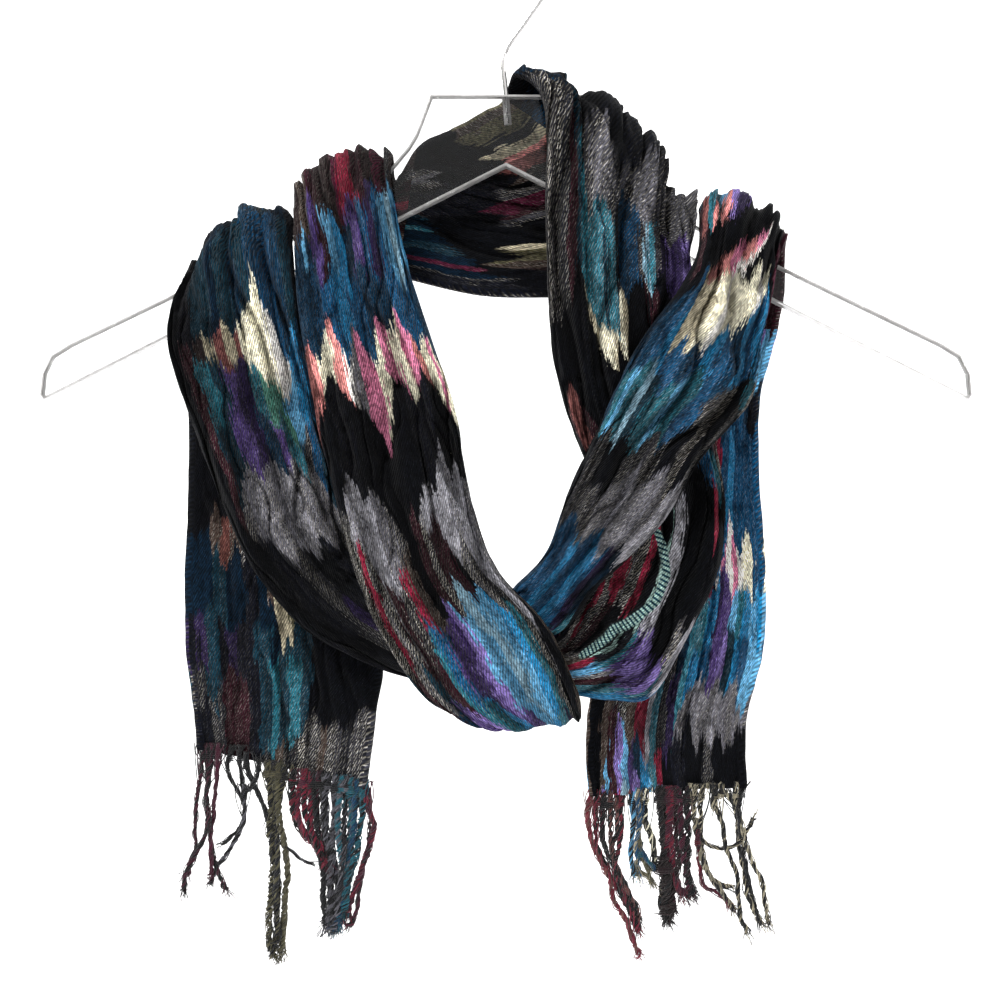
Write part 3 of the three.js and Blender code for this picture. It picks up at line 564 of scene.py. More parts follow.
HEM_END = -410        # mm, below the lowest hem: what starts there hangs from another strand
FRINGE_Y = 10.0       # mm, behind the hanger's middle, under the hems
STRAND_STEP = 1.1     # mm between the samples of a strand's course
ROOT = 2.5            # mm, how far a strand starts above the top of its course, inside the hem
STRAY = 1.3           # mm, how far its course leaves FRINGE_Y, and twice that at most
TWIST = 6.5           # mm for one turn of a strand's yarns
BUNDLED = 0.85        # mm, how far its yarns lie from its middle where its thickness is 1
LIGHTER = 0.36        # share of its yarns in the lighter of its two dyes
WISPS = 3             # yarns of each strand that have slipped out of its twist
FLARE = 9             # mm, the length at its end where its yarns spread
TAPER = 4             # mm, the length at its end where they thin out
FUZZ_STEP = 1.6       # mm of a strand for each fibre that stands off it
TUFT = 12             # fibres at its end where its thickness is 1
GATHERED = 9          # warp ends that run from the hem to a knot
KNOT = (3, 2.4)       # a knot's loops, and the turns of each
SEEDS = (1, 900)      # where the seeds of a strand's noise are drawn from

# Each fringe's strands: the two plies, the thickness, and the course down, as x and z in mm.
STRANDS = {
    "fringe_left_1": """
    wine black 1.0: -142 -385, -144 -402, -146 -418, -146 -427, -146 -432, -150 -443, -151 -453;
    wine black 1.0: -138 -385, -139 -397, -141 -409, -140 -419, -142 -427, -147 -437, -151 -446;
    wine wine 1.0: -135 -385, -136 -402, -138 -418, -139 -431, -138 -439, -139 -446;
    black wine 1.1: -140 -385, -140 -407, -139 -425, -138 -435, -135 -442, -131 -453;
    black charcoal 0.7: -129 -386, -131 -393, -130 -399, -125 -406, -123 -414, -125 -422, -130
      -427, -135 -431;
    black grey 0.9: -123 -404, -123 -416, -125 -424, -131 -434, -136 -441, -139 -449;
    black charcoal 0.9: -125 -386, -125 -397, -124 -404, -120 -403, -116 -396, -116 -389""",
    "fringe_left_2": """
    black charcoal 1.0: -122 -389, -120 -399, -116 -406, -113 -414, -111 -421;
    olive black 1.6: -112 -393, -110 -414, -111 -423, -109 -435, -110 -449, -111 -463, -111 -477,
      -108 -483;
    olive olive 1.6: -107 -394, -107 -414, -105 -425, -103 -439, -104 -458, -105 -472, -106 -483;
    charcoal olive 1.4: -109 -393, -108 -416, -107 -435, -108 -454, -108 -472, -109 -479;
    black olive 1.4: -104 -395, -108 -418, -110 -432, -107 -447, -107 -463, -107 -477;
    black grey 0.4: -110 -426, -102 -432, -96 -437, -90 -440""",
    "fringe_left_3": """
    crimson black 1.4: -94 -398, -95 -411, -92 -423, -86 -435;
    grey black 1.5: -85 -399, -86 -415, -84 -430, -82 -446, -82 -463;
    charcoal grey 1.5: -75 -400, -76 -415, -76 -429, -77 -443, -79 -457, -81 -468;
    teal charcoal 1.4: -69 -402, -71 -415, -72 -429, -73 -442, -76 -456, -78 -468;
    crimson wine 1.6: -95 -397, -98 -409, -97 -419, -90 -431, -85 -442;
    wine black 1.6: -88 -398, -89 -416, -86 -427, -83 -439;
    crimson black 1.6: -100 -397, -100 -413, -96 -423, -88 -431, -84 -439;
    crimson wine 1.4: -92 -398, -92 -415, -91 -424, -86 -433, -85 -442;
    black charcoal 1.6: -91 -398, -88 -430, -86 -443, -86 -454, -85 -463, -86 -470;
    grey charcoal 1.6: -84 -399, -85 -416, -83 -430, -80 -444, -79 -461, -81 -471;
    charcoal grey 1.6: -80 -400, -81 -418, -82 -432, -83 -449, -83 -463, -84 -470;
    grey teal 1.6: -77 -400, -79 -416, -78 -430, -76 -444, -78 -458, -80 -471;
    teal grey 1.6: -73 -401, -73 -416, -74 -431, -75 -444, -78 -458, -81 -469;
    teal blue 1.4: -70 -402, -71 -417, -73 -432, -75 -443, -77 -456, -79 -468;
    charcoal teal 1.6: -68 -402, -67 -409, -69 -424, -70 -435, -73 -444, -76 -463;
    crimson wine 1.4: -67 -403, -65 -411, -62 -421, -64 -431, -68 -442, -72 -454, -75 -465;
    black wine 1.0: -66 -403, -64 -414, -64 -425, -66 -437, -69 -450, -70 -461, -74 -469""",
    "fringe_right_1": """
    crimson rosewood 1.1: 40 -407, 38 -416, 40 -427, 44 -437, 49 -447, 51 -457, 57 -467, 61 -478,
      63 -483;
    crimson black 1.1: 43 -407, 42 -419, 43 -430, 47 -440, 52 -450, 57 -460, 62 -471;
    rosewood black 1.1: 49 -407, 49 -418, 49 -428, 51 -439, 56 -450, 61 -459, 63 -468;
    crimson black 1.2: 54 -407, 54 -419, 53 -431, 51 -439, 54 -451, 60 -463, 62 -471;
    wine black 1.2: 46 -408, 45 -423, 47 -433, 54 -445, 58 -454, 62 -465;
    black rosewood 1.0: 52 -408, 52 -423, 50 -432, 52 -445, 57 -456, 61 -466""",
    "fringe_right_2": """
    light black 1.1: 59 -406, 60 -418, 59 -428, 59 -437, 60 -446;
    blue sand 0.9: 62 -406, 63 -417, 61 -429, 62 -438, 63 -447;
    olive sand 0.7: 63 -407, 65 -421, 69 -427, 70 -434, 69 -442, 64 -437, 62 -427, 63 -421;
    olive sand 0.8: 62 -413, 63 -431, 67 -443, 69 -450;
    sand olive 0.8: 61 -440, 64 -443, 68 -446, 70 -450;
    blue teal 0.9: 63 -431, 66 -436, 69 -440, 70 -441;
    black cream 1.0: 65 -406, 66 -419, 69 -432, 70 -442""",
    "fringe_right_3": """
    black brown 1.7: 72 -405, 73 -421, 74 -434, 76 -447, 75 -461, 77 -467;
    crimson wine 1.7: 76 -405, 77 -418, 78 -432, 80 -445, 83 -456;
    wine crimson 1.6: 78 -405, 76 -423, 76 -434, 79 -447, 85 -455;
    wine black 1.6: 81 -405, 82 -419, 83 -434, 85 -446, 87 -454;
    brown black 1.6: 74 -406, 75 -432, 74 -447, 73 -458, 76 -466;
    brown wine 1.6: 79 -405, 80 -423, 81 -437, 79 -449, 78 -463;
    black wine 1.6: 85 -405, 85 -423, 85 -437, 86 -447, 88 -455;
    brown maroon 3.2: 74 -438, 75 -446, 76 -455, 75 -464""",
    "fringe_right_4": """
    black sand 1.0: 89 -404, 88 -416, 90 -428, 93 -440, 98 -447, 107 -451;
    sand black 1.0: 92 -404, 91 -416, 92 -428, 93 -437, 96 -445, 102 -453, 108 -462;
    wine crimson 1.0: 90 -425, 91 -440, 93 -449, 100 -453, 106 -460;
    black sand 0.8: 90 -420, 91 -426, 95 -430, 102 -432, 109 -429, 114 -422, 117 -417;
    black sand 0.9: 98 -404, 99 -414, 102 -422, 103 -431, 108 -443, 109 -453, 110 -464, 114 -472;
    sand black 1.0: 101 -403, 107 -411, 109 -422, 110 -432, 112 -444, 114 -456, 121 -469;
    black sand 1.0: 108 -403, 109 -414, 112 -427, 116 -439, 120 -447, 122 -459, 124 -469;
    black charcoal 1.0: 111 -403, 109 -415, 111 -429, 113 -443, 116 -456, 119 -466;
    black sand 0.9: 98 -404, 97 -410, 99 -415""",
}


def frames(middle):
    """At each point of a course, the way that it runs, and two ways square to it."""
    along = unit(np.gradient(middle, axis=0))
    side = unit(np.cross(along, [0.02, 1.0, 0.03]))
    return along, side, np.cross(along, side)


def around(side, other, turns):
    """The ways square to a course, so many turns round it."""
    angle = 2 * np.pi * turns[:, None]
    return side * np.cos(angle) + other * np.sin(angle)


def hair(root, way, length, bow, count):
    """The points of one fibre that bows as it leaves its root."""
    t = np.linspace(0, 1, count)[:, None]
    return root + way * t * length + bow * t * t


class Tubes:
    """Many round tubes joined as one mesh, each with its own tint."""

    def __init__(self):
        self.points, self.faces, self.tints, self.count = [], [], [], 0

    def add(self, middle, radius, sides, tint):
        _, side, other = frames(middle)
        ring = around(side[:, None], other[:, None], np.arange(sides) / sides)
        rows = len(middle)
        points = middle[:, None] + ring * np.broadcast_to(radius, rows)[:, None, None]
        i, j = np.meshgrid(np.arange(rows - 1), np.arange(sides), indexing="ij")
        k = (j + 1) % sides
        low, high = i * sides, (i + 1) * sides
        quads = np.stack([low + j, low + k, high + k, high + j], axis=-1)
        self.points.append(points.reshape(-1, 3))
        self.faces.append(quads.reshape(-1, 4) + self.count)
        self.tints.append(np.tile(tint, (rows * sides, 1)))
        self.count += rows * sides

    def mesh(self, name):
        mesh = mesh_from(name, np.concatenate(self.points), np.concatenate(self.faces))
        layer = mesh.attributes.new("tint", "FLOAT_COLOR", "POINT")
        layer.data.foreach_set("color", np.concatenate(self.tints).reshape(-1))
        return mesh


def smooth_course(points):
    """A smooth curve through the points as even samples, and how far along each sample is."""
    points = np.array(points, float)
    last = len(points) - 1
    curve = catmull_rom(points, np.linspace(0, last, last * 40 + 1))
    run = run_along(curve)
    at = np.linspace(0, run[-1], max(3, round(run[-1] / STRAND_STEP) + 1))
    return np.stack([np.interp(at, run, curve[:, k]) for k in range(3)], axis=1), at


def add_yarns(tubes, middle, run, thick, rng, tint):
    """A strand's yarns, twisted round its middle, with wisps that have slipped out of the twist."""
    _, side, other = frames(middle)
    left = run[-1] - run
    yarns = 6 + round(2 * thick)
    for number in range(yarns + WISPS):
        wisp = number >= yarns
        turns = run / (TWIST * rng.uniform(0.8, 1.25) * (3 if wisp else 1))
        turns = turns + (number + rng.uniform(-0.3, 0.3)) / yarns
        spread = 1 + 1.4 * np.clip(1 - left / FLARE, 0, 1) ** 2
        reach = BUNDLED * thick * rng.uniform(0.4, 1.1) * spread
        reach = reach * (1 + 0.3 * noise(run / 6, 0.5, int(rng.integers(*SEEDS))))
        reach = reach + 0.5 * wisp * (1 + noise(run / 9, 0.5, number))
        path = middle + around(side, other, turns) * reach[:, None]
        radius = rng.uniform(0.32, 0.5) * (0.6 if wisp else 1) * np.clip(left / TAPER + 0.4, 0.4, 1)
        end = len(path) - int(rng.integers(0, 5))
        tubes.add(path[:end], radius[:end], 4, tint())


def add_fibres(tubes, middle, run, thick, rng, tint):
    """The fuzz along a strand, and the tuft at its end."""
    along = frames(middle)[0]
    for _ in range(int(run[-1] / FUZZ_STEP)):
        k = int(rng.integers(0, len(middle) - 1))
        way = unit(rng.normal(0, 1, 3) + along[k] * 1.8)
        bow = unit(rng.normal(0, 1, 3)) * 0.9
        tubes.add(hair(middle[k], way, rng.uniform(1.5, 4.5), bow, 4), 0.09, 3, tint())
    for _ in range(int(TUFT * thick)):
        way = unit(along[-1] + rng.normal(0, 0.25, 3) * [1, 0.5, 1])
        bow = rng.normal(0, 1, 3) * [1.3, 0.5, 0.6]
        root = middle[-5] + rng.normal(0, 0.5, 3)
        tubes.add(hair(root, way, rng.uniform(4, 9), bow, 6), 0.17, 3, tint())


def add_knot(tubes, x, z, middle, thick, rng, tint):
    """The warp ends that gather from the hem to a strand's knot, and the knot."""
    if z > HEM_END:
        for _ in range(GATHERED):
            k = min(int(rng.integers(6, 20)), len(middle) - 1)
            top = np.array([x + rng.uniform(-4.5, 4.5), FRINGE_Y + rng.uniform(-0.8, 0.8), z + 3])
            t = np.linspace(0, 1, 10)[:, None]
            bow = rng.normal(0, 1, 3) * [1.2, 0.4, 0]
            tubes.add(top + (middle[k] - top) * t + bow * np.sin(np.pi * t), 0.24, 4, tint())
    loops, turns = KNOT
    t = np.linspace(0, turns * 2 * np.pi, 40)
    for loop in range(loops):
        reach = (0.9 + 0.25 * loop) * thick
        ring_x, ring_y = x + reach * np.cos(t + loop), FRINGE_Y + reach * np.sin(t + loop)
        ring = np.stack([ring_x, ring_y, z - 1 - loop - t * 0.14], axis=1)
        tubes.add(ring, 0.36, 4, tint())


def add_strand(tubes, strand, rng):
    """A loose twist of fine yarns, most of them in the darker dye, with its knot at the hem."""
    (*plies, thick), course = (half.split() for half in strand.replace(",", "").split(":"))
    thick = float(thick)
    course = np.array(course, float).reshape(-1, 2)
    dyes = sorted((np.array(dye(yarn, False)) for yarn in plies), key=sum)
    tint = lambda: dyes[int(rng.random() < LIGHTER)] * [*([rng.uniform(0.45, 1.0)] * 3), 1]
    depth = FRINGE_Y + np.clip(rng.normal(0, STRAY, len(course)), -2 * STRAY, 2 * STRAY)
    depth[0] = FRINGE_Y
    x, z = course[0]
    points = [(x, FRINGE_Y, z + ROOT)] + [(a, y, b) for (a, b), y in zip(course, depth)]
    middle, run = smooth_course(points)
    middle[:, 0] += 0.4 * noise(run / 5, 0.5, int(rng.integers(*SEEDS)))
    add_yarns(tubes, middle, run, thick, rng, tint)
    add_fibres(tubes, middle, run, thick, rng, tint)
    add_knot(tubes, x, z, middle, thick, rng, tint)


def fringe_material():
    graph = Graph("fringe_yarn", {"Sheen Weight": 0.25, "Specular IOR Level": 0.25})
    tint = graph.attribute("tint", "Color")
    position = graph.place()
    fibre = graph.noise(position, scale=900, detail=3, rough=0.65)
    patch = graph.noise(position, scale=160)
    fibre_level = graph.remap(fibre, 0.3, 0.7, 0.7, 1.35)
    colour = graph.shade(tint, graph.times(fibre_level, graph.remap(patch, 0.3, 0.7, 0.8, 1.2)))
    roughness = graph.remap(fibre, 0.3, 0.7, 0.75, 0.95)
    return graph.finish(roughness, fibre, distance=0.3 * MM, strength=0.6, colour=colour)


def add_fringe():
    """One mesh for each fringe node; returns their objects by name."""
    yarn = fringe_material()
    made = {}
    for number, (name, strands) in enumerate(STRANDS.items()):
        rng = np.random.default_rng(500 + number)
        tubes = Tubes()
        for strand in strands.split(";"):
            add_strand(tubes, strand, rng)
        made[name] = piece(name + "_yarn", tubes.mesh(name + "_yarn"), name)
        made[name].data.materials.append(yarn)
    return made


# ---- The hanger -----------------------------------------------------------------------------

PLATE_BORDER = 0.5 * MM     # how far the edges' dullness and painted grey reach in over the plate's faces
SAME_POINT = 0.001 * MM
SAME_FACE = math.radians(2)
FACING = 0.9                # how nearly a broad face's normal lies along Y
ACRYLIC = 1.49              # its index of refraction


def plate_material():
    graph = Graph("clear_plate", {"Base Color": (0.94, 0.945, 0.95, 1), "Transmission Weight": 1.0,
                                  "IOR": ACRYLIC})
    scuff = graph.noise(graph.place(), scale=45, detail=5, rough=0.6)
    roughness = graph.remap(scuff, 0.35, 0.75, 0.01, 0.06)
    return graph.finish(roughness, scuff, distance=0.1 * MM, strength=0.05)


def edge_material():
    """The plate's edges are duller than its faces, and painted grey as shade and highlight."""
    graph = Graph("plate_edge", {"Transmission Weight": 0.25, "IOR": ACRYLIC})
    sawn_and_glint = graph.noise(graph.place(), scale=160, detail=4, rough=0.6)
    # Painted shade and painted highlight: the grey stands in for the dark lines and bright glints
    # that clear edges show by refraction and reflection.
    colour = graph.ramp(sawn_and_glint, [(0.3, (0.34, 0.33, 0.32, 1)), (0.7, (0.6, 0.59, 0.58, 1))])[0]
    roughness = graph.remap(sawn_and_glint, 0.3, 0.7, 0.12, 0.3)
    return graph.finish(roughness, sawn_and_glint, distance=0.1 * MM, strength=0.2, colour=colour)


def wire_material():
    graph = Graph("bright_wire", {"Base Color": (0.62, 0.61, 0.6, 1), "Metallic": 1.0})
    stretched = graph.add("Mapping", {"Vector": graph.place(), "Scale": (900, 900, 60)})
    drawn = graph.noise(stretched, detail=3)
    roughness = graph.remap(drawn, 0.3, 0.7, 0.16, 0.34)
    return graph.finish(roughness, drawn, distance=0.1 * MM, strength=0.2)


def dress_hanger():
    """The plate's polished faces end in a dull border along its edges, painted grey; the hook keeps
    its solid.
    """
    mesh = bpy.data.objects["hanger"].data.copy()
    mesh.materials.clear()
    mesh.materials.append(plate_material())
    mesh.materials.append(edge_material())
    form = bmesh.new()
    form.from_mesh(mesh)
    bmesh.ops.remove_doubles(form, verts=form.verts, dist=SAME_POINT)
    bmesh.ops.dissolve_limit(form, angle_limit=SAME_FACE, verts=form.verts, edges=form.edges)
    broad = [face for face in form.faces if abs(face.normal.y) > FACING]
    inset = bmesh.ops.inset_region(form, faces=broad, thickness=PLATE_BORDER, use_even_offset=True)
    for face in form.faces:
        face.material_index = int(face in inset["faces"] or abs(face.normal.y) < FACING)
    form.to_mesh(mesh)
    form.free()
    piece("clear_plate", mesh, "hanger")
    for slot in bpy.data.objects["hook"].material_slots:
        slot.material = wire_material()


# ---- The cloth's route ----------------------------------------------------------------------

# Each row is a section of the scarf, in millimetres: its left edge, its right edge, how far the
# cloth between them crowns outwards, and how far its edges tuck in.
ROWS_FROM_LEFT = [
    ((-144, 10, -385), (-66, 10, -403), 3, 3),
    ((-146, 10, -364), (-62, 10, -368), 4, 3),
    ((-149, 10, -339), (-59, 10, -347), 4, 3),
    ((-150, 10, -310), (-62, 10, -315), 4, 3),
    ((-148, 10, -268), (-73, 10, -270), 5, 3),
    ((-148, 10, -231), (-88, 10, -231), 6, 3),
    ((-151, 10, -198), (-97, 10, -191), 9, 2),
    ((-154, 12, -176), (-101, 12, -150), 13, 1.5),
    ((-142, 0, -162), (-99, 0, -139), 17, 1),
    ((-151, -12, -178), (-98, -12, -155), 14, 1.5),
    ((-153, -12, -197), (-95, -6, -186), 12, 2),
    ((-146, -12, -223), (-88, -2, -221), 11, 1),
    ((-135, -12, -252), (-81, -2, -253), 10, 1),
    ((-119, -11, -291), (-71, -4, -282), 9, 2),
    ((-94, -9, -324), (-52, -6, -303), 8, 2),
    ((-62, -8, -343), (-30, -6, -317), 7, 2),
    ((-30, -8, -352), (-12, -6, -327), 7, 2),
    ((2, -9, -357), (7, -7, -335), 6, 2),
    ((27, -9, -356), (24, -8, -332), 6, 2),
    ((48, -9, -359), (32, -8, -317), 7, 2),
    ((67, -11, -356), (36, -8, -303), 9, 3),
    ((84, -12, -325), (40, -9, -293), 10, 3),
    ((96, -12, -298), (42, -9, -278), 10, 3),
    ((99, -10, -268), (42, -9, -262), 9, 3),
    ((93, -9, -236), (35, -9, -245), 9, 3),
    ((87, -10, -204), (26, -10, -219), 9, 4),
    ((84, -11, -177), (21, -11, -187), 10, 4),
    ((83, -11, -160), (19, -11, -145), 11, 3),
    ((83, -12.5, -151), (18, -12.5, -89), 14, 1.5),
    ((85, 0, -133), (5, 0, -71), 18, 1),
    ((84, 12.5, -147), (0, 12.5, -80), 15, 1.5),
    ((63, 12, -165), (-8, 12, -86), 12, 3),
    ((30, 13, -171), (-22, 13, -93), 11, 3),
    ((-8, 13, -171), (-32, 12, -98), 10, 3),
    ((-51, 12, -162), (-42, 12, -104), 10, 2),
    ((-94, 12, -153), (-52, 12, -119), 13, 1.5),
    ((-96, 0, -134), (-53, 0, -109), 16, 1),
    ((-95, -12.5, -155), (-53, -12, -126), 13, 1.5),
    ((-94, -12, -177), (-46, -12, -160), 12, 4),
    ((-90, -12, -204), (-35, -12, -195), 12, 4),
    ((-84, -13, -236), (-24, -13, -229), 12, 4),
    ((-75, -18, -273), (-17, -14, -267), 12, 4),
    ((-65, -22, -306), (-6, -19, -298), 11, 3),
    ((-50, -23, -337), (17, -24, -324), 10, 3),
    ((-30, -22, -361), (29, -24, -349), 9, 3),
    ((-6, -13, -365), (33, -13, -362), 12, 2),
    ((-5, 3, -361), (31, 3, -358), 8, 2),
    ((-3, 5, -339), (29, 5, -340), 7, 2),
    ((0, 3, -320), (25, 3, -318), 6, 2),
]

ROWS_TO_RIGHT = [
    ((18, -2, -326), (1, -2, -313), 4, 1.5),
    ((27, -16, -326), (5, -13, -308), 5, 2),
    ((41, -22, -306), (20, -20, -291), 7, 3),
    ((69, -26, -278), (30, -24, -261), 9, 3),
    ((87, -27, -248), (43, -27, -234), 10, 4),
    ((109, -22, -222), (61, -28, -198), 11, 4),
    ((115, -14, -191), (79, -24, -173), 12, 3),
    ((120, -12.5, -170), (88, -13, -155), 13, 1.5),
    ((127, 0, -151), (90, 0, -134), 16, 1),
    ((130, 12, -167), (92, 12, -150), 13, 1.5),
    ((127, 11, -188), (87, 11, -188), 8, 3),
    ((119, 11, -219), (77, 11, -230), 6, 3),
    ((118, 11, -254), (68, 12, -273), 5, 3),
    ((121, 11, -306), (53, 13, -320), 4, 3),
    ((120, 11, -339), (42, 13, -353), 4, 3),
    ((112, 10, -372), (39, 11, -382), 4, 3),
    ((112, 10, -403), (40, 10, -407), 3, 3),
]

# A pleat: the rows that it runs between, its place across the section at either end (0 is the left
# edge, 1 the right one), its depth and its half-width.
PLEATS_FROM_LEFT = [
    (-1, 7.5, 0.3, 0.28, 4, 0.05),
    (-1, 8, 0.49, 0.46, 5, 0.055),
    (-1, 7, 0.68, 0.64, 4.5, 0.05),
    (6.5, 9.8, 0.22, 0.22, 5, 0.06),
    (9, 16, 0.32, 0.38, 4, 0.05),
    (7.5, 17.5, 0.48, 0.54, 4.5, 0.055),
    (7, 15, 0.66, 0.7, 4, 0.05),
    (18, 24.5, 0.3, 0.38, 6, 0.08),
    (18, 24, 0.56, 0.6, 3.5, 0.045),
    (17.5, 25, 0.72, 0.75, 3, 0.05),
    (23, 27.5, 0.26, 0.3, 4, 0.05),
    (26.5, 31.5, 0.3, 0.3, 8.5, 0.08),
    (23.5, 30, 0.46, 0.5, 4, 0.045),
    (24, 32, 0.62, 0.66, 4.5, 0.05),
    (24.5, 31, 0.76, 0.79, 4, 0.05),
    (30.5, 36, 0.3, 0.34, 4, 0.055),
    (30.5, 36.5, 0.5, 0.52, 4.5, 0.055),
    (34, 38.5, 0.76, 0.76, 6, 0.09),
    (35, 46, 0.3, 0.32, 4, 0.05),
    (35.5, 45, 0.46, 0.48, 5, 0.05),
    (37, 46, 0.63, 0.62, 4, 0.045),
    (37.5, 47.5, 0.76, 0.76, 5, 0.05),
]

PLEATS_TO_RIGHT = [
    (0, 8, 0.32, 0.28, 4, 0.05),
    (0.5, 10, 0.5, 0.48, 4.5, 0.055),
    (0, 9, 0.7, 0.68, 4, 0.05),
    (8.5, 18, 0.28, 0.26, 4, 0.05),
    (9, 18, 0.44, 0.47, 4.5, 0.055),
    (9.5, 18, 0.62, 0.65, 5, 0.055),
]

# Where a selvage stands up as a ribbed ridge: its path, row and place across, its half-width and
# its height.
WELTS_FROM_LEFT = [
    ("18.3 .53 19 .53 20 .53 20.5 .48 21 .425 21.5 .43 22 .485 22.5 .55", 0.034, 1),
    ("24 .66 25 .655 26 .645 27 .637 28 .66 29 .66 30 .64", 0.014, 0.45),
]

# The stretches of each route: the row where each starts, how wide its own cut is, in metres, all
# round its folded section, whether its selvages lap at the back, and what it rests on.
STRETCHES_FROM_LEFT = [
    {"node": "tail_left", "start": 0, "cut": 0.17, "laps": False, "on": "loop_left_outer",
     "cut_end": 0},
    {"node": "loop_left_outer", "start": 6, "cut": 0.14, "laps": True, "on": "hanger"},
    {"node": "loop_right_inner", "start": 16, "cut": 0.16, "laps": True, "on": "hanger"},
    {"node": "neck_back", "start": 30, "cut": 0.2, "laps": False, "on": "loop_left_inner"},
    {"node": "loop_left_inner", "start": 34, "cut": 0.165, "laps": True, "on": "hanger"},
]
STRETCHES_TO_RIGHT = [
    {"node": "loop_right_outer", "start": 0, "cut": 0.125, "laps": True, "on": "hanger"},
    {"node": "tail_right", "start": 10, "cut": 0.14, "laps": False, "on": "loop_right_outer",
     "cut_end": 16},
]

WOVEN = 96            # mm, how wide the front of a section is when it lies flat
RIM = 0.08            # share of a section's front that turns back along each edge
FULLNESS = 0.6        # of a section's crown: 1 is an ellipse, less is squarer
TYPICAL = (31, 12)    # mm, half the width and the crown of a common section
LOOSE = 6             # mm, the height over its rims from which the cloth folds freely
WELT_HEIGHT = 2.4     # mm
SKIN = 0.8            # mm, the visible face off the middle of the cloth
BUNDLE = 7.5          # mm, how deep the folded cloth is from front to back
LAYER = 1.3           # mm, the least between its front and its back
LAP = (0.4, 0.6)      # where the two selvages end, across the back
TUCKED = (0.08, 1.1)  # how soon the under selvage sinks past the upper one's end, and mm how far
PINCH = 14            # mm, how far from a cut end the front and the back close up
ROW_STEP = 1.8        # mm between the mesh's rows
FRONT_COLUMNS = 150
BACK_COLUMNS = 110
LAP_COLUMNS = 30      # of each of the back's two lapping parts

# The fine folds: how wide and how long they are, and how deep the creases between them.
FOLDS = [
    {"seed": 11, "wide": 10.5, "long": 75, "depth": 5.2},
    {"seed": 23, "wide": 5.6, "long": 34, "depth": 3.2},
    {"seed": 29, "wide": 6.5, "long": 15, "depth": 1.6},
    {"seed": 37, "wide": 2.6, "long": 9, "depth": 0.9},
]


def across_angle(u):
    """A place across a section's front as an angle over its arch, which its rims don't reach."""
    return np.pi * ((np.clip(u, RIM, 1 - RIM) - RIM) / (1 - 2 * RIM) - 0.5)


def front_shares():
    """Places across a section's front that lie evenly along its developed width."""
    half, crown = TYPICAL
    u = np.linspace(0, 1, 2001)
    angle = across_angle(u)
    x, z = half * np.sin(angle), crown * np.maximum(np.cos(angle), 0) ** FULLNESS
    run = np.concatenate([[0], np.cumsum(np.hypot(np.diff(x), np.diff(z)) + 6e-3)])
    return np.interp(np.linspace(0, run[-1], FRONT_COLUMNS + 1), run, u)


FRONT_SHARES = front_shares()


